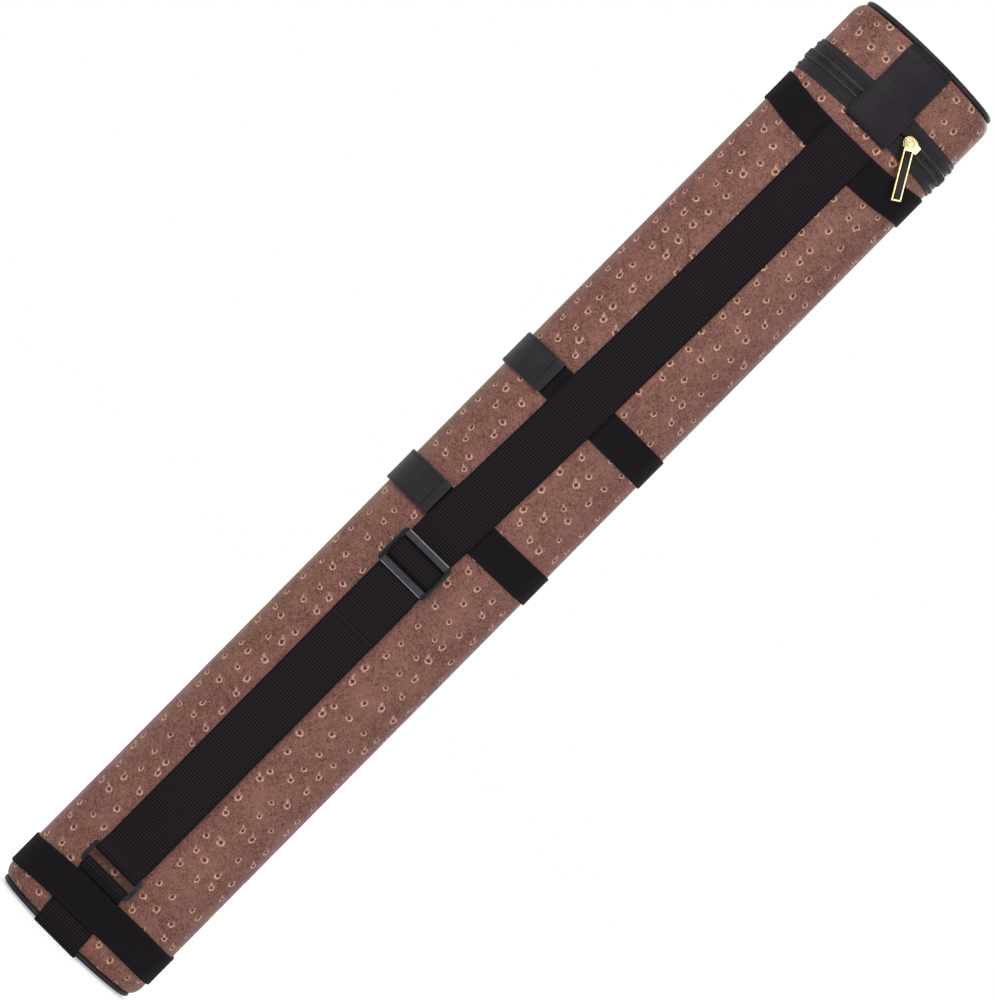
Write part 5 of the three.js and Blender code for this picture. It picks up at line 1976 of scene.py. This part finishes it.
@dataclass
class Rack:
    """The tubes, the foam plates and the collar inside."""

    floor: float = 2 * MM
    wall: float = 1.5 * MM
    lip: float = 0.4 * MM
    collar_out: float = -6.0 * MM
    collar_thickness: float = 1.4 * MM

    def tube(self, node: str, name: str) -> None:
        """Makes one round tube, closed at its foot.

        Args:
            node: The CAD node that it replaces.
            name: The piece's name.
        """
        low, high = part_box(node)
        radius, lip = (high.x - low.x) / 2, self.lip
        inner = radius - self.wall
        profile = [(0, low.z), (radius, low.z), (radius, high.z - lip), (radius - lip, high.z)]
        profile += [(inner + lip, high.z), (inner, high.z - lip), (inner, low.z + self.floor)]
        profile += [(0, low.z + self.floor)]
        form = Form()
        verts = [form.bm.verts.new((x, 0, z)) for x, z in profile]
        edges = [form.bm.edges.new(pair) for pair in zip(verts, verts[1:])]
        form.spin(verts + edges, 48).shift((low.x + high.x) / 2, (low.y + high.y) / 2, 0)
        publish(form, name, "case", TUBE, [node])

    def foam(self, node: str, name: str, body: str = "case") -> bpy.types.Object:
        """Makes a foam plate from its CAD solid, with soft edges.

        Args:
            node: The CAD node that it replaces.
            name: The piece's name.
            body: The body that it rides on.

        Returns:
            The piece.
        """
        form = Form()
        form.bm.from_mesh(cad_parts[node].data)
        bm = form.weld(0.02 * MM).bm
        bmesh.ops.dissolve_limit(bm, angle_limit=math.radians(1), verts=bm.verts, edges=bm.edges)
        return publish(form.round_edges(0.5 * MM), name, body, FOAM, [node])

    def collar(self) -> None:
        """Makes the leatherette collar that the lid seats over."""
        low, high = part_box("mouth_collar")
        size = (SECTION.girth, high.z - low.z)
        form = strip((0, 0), size, 2.5 * MM, 6, self.collar_thickness, 0.4 * MM, ring=True)
        form.lay(lambda flat: SECTION.point(flat.x, flat.z + self.collar_out, low.z + flat.y))
        publish(form, "collar", "case", LEATHERETTE, ["mouth_collar"])

    def build(self) -> None:
        """Builds the rack."""
        for kind in ("butt", "inner_shaft", "outer_shaft"):
            for side in ("left", "right"):
                self.tube(f"{kind}_tube_{side}", f"{kind}_sleeve_{side}")
        base = self.foam("base_pad", "base_foam")
        for node, name in (("lower_cradle",) * 2, ("upper_cradle",) * 2, ("mouth_plate", "mouth")):
            self.foam(node, name + "_foam")
        top = self.foam("lid_pad", "lid_foam", "lid")
        self.collar()
        for node in ("case_shell", "lid_shell"):
            dress_node(node, BOARD)


@dataclass
class Studio:
    """The camera, the lamps, the world and the floor."""

    distance: float = 3.4
    lens: float = 177.2
    roll: float = math.radians(45.34)
    aim: Pair = (-0.0006, 0.4285)
    lamp_size: float = 1.6
    lamp_aim: Triple = (0, 0, 0.43)
    world_strength: float = 0.36

    def camera(self) -> None:
        """Places the camera square to the back, rolled as the photograph is."""
        data = bpy.data.cameras.new("camera")
        data.sensor_width = 36
        data.sensor_fit = "HORIZONTAL"
        data.lens = self.lens
        data.clip_end = 20
        camera = add_object("camera", data)
        right = Vector((-math.sin(self.roll), 0, math.cos(self.roll)))
        up = Vector((math.cos(self.roll), 0, math.sin(self.roll)))
        turn = Matrix((right, up, Vector((0, 1, 0)))).transposed().to_4x4()
        place = Vector((self.aim[0], SECTION.centre.y + self.distance, self.aim[1]))
        camera.matrix_world = Matrix.Translation(place) @ turn
        bpy.context.scene.camera = camera

    def lamp(self, name: str, place: Sequence[float], power: float) -> None:
        """Adds a soft square lamp that faces the case.

        Args:
            name: Its name.
            place: Where it is.
            power: Its power in watts.
        """
        data = bpy.data.lights.new(name, "AREA")
        data.size = self.lamp_size
        data.energy = power
        lamp = add_object(name, data)
        lamp.location = Vector(place)
        lamp.rotation_euler = (lamp.location - Vector(self.lamp_aim)).to_track_quat("Z", "Y").to_euler()

    def world(self) -> None:
        """Makes the world white to the camera and in reflections, and dimmer as light."""
        world = bpy.data.worlds.new("studio")
        book = NodeBook(world)
        dim, white = (
            book.node("ShaderNodeBackground", {}, {"Color": (1.0, 1.0, 1.0), "Strength": strength})
            for strength in (self.world_strength, 1.0)
        )
        mix = book.node("ShaderNodeMixShader", {}, {0: book.seen(), 1: dim, 2: white})
        book.node("ShaderNodeOutputWorld", {}, {0: mix})
        bpy.context.scene.world = world

    def floor(self) -> None:
        """Makes the pale floor, which shows white to the camera but keeps the shadow."""
        material = bpy.data.materials.new("floor")
        book = NodeBook(material)
        matt = book.node("ShaderNodeBsdfPrincipled", {}, {"Base Color": (0.8, 0.8, 0.8), "Roughness": 0.8})
        far = book.vector("LENGTH", book.place, output="Value").step(700.0, 3200.0)
        inputs = {"Color": (1.0, 1.0, 1.0), "Strength": book.seen() * (far * 0.28 + 0.5)}
        glow = book.node("ShaderNodeEmission", {}, inputs)
        both = book.node("ShaderNodeAddShader", {}, {0: matt, 1: glow})
        book.node("ShaderNodeOutputMaterial", {}, {0: both})
        bm = bmesh.new()
        bmesh.ops.create_grid(bm, x_segments=1, y_segments=1, size=6)
        mesh = bpy.data.meshes.new("floor")
        bm.to_mesh(mesh)
        bm.free()
        mesh.materials.append(material)
        floor = add_object("floor", mesh)

    def build(self) -> None:
        """Sets up the studio."""
        self.camera()
        self.world()
        self.floor()
        self.lamp("key", (1.2, 2.2, 1.9), 45)
        self.lamp("fill", (-1.9, 1.7, 0.9), 19)
        self.lamp("rim", (-0.6, -2.0, 1.8), 30)
        bpy.context.scene.view_settings.view_transform = "Standard"


def main() -> None:
    """Builds the studio and the case, piece by piece."""
    logging.basicConfig(level=logging.INFO, format="%(message)s")
    pockets = [Pocket("lower", 54 * MM, 378 * MM), Pocket("upper", 536 * MM, 742 * MM)]
    for part in (Studio(), Covers(), Bands(), Zipper(), Sliders(), Strap(), Handle(), *pockets, Rack()):
        part.build()


if __name__ == "__main__":
    main()
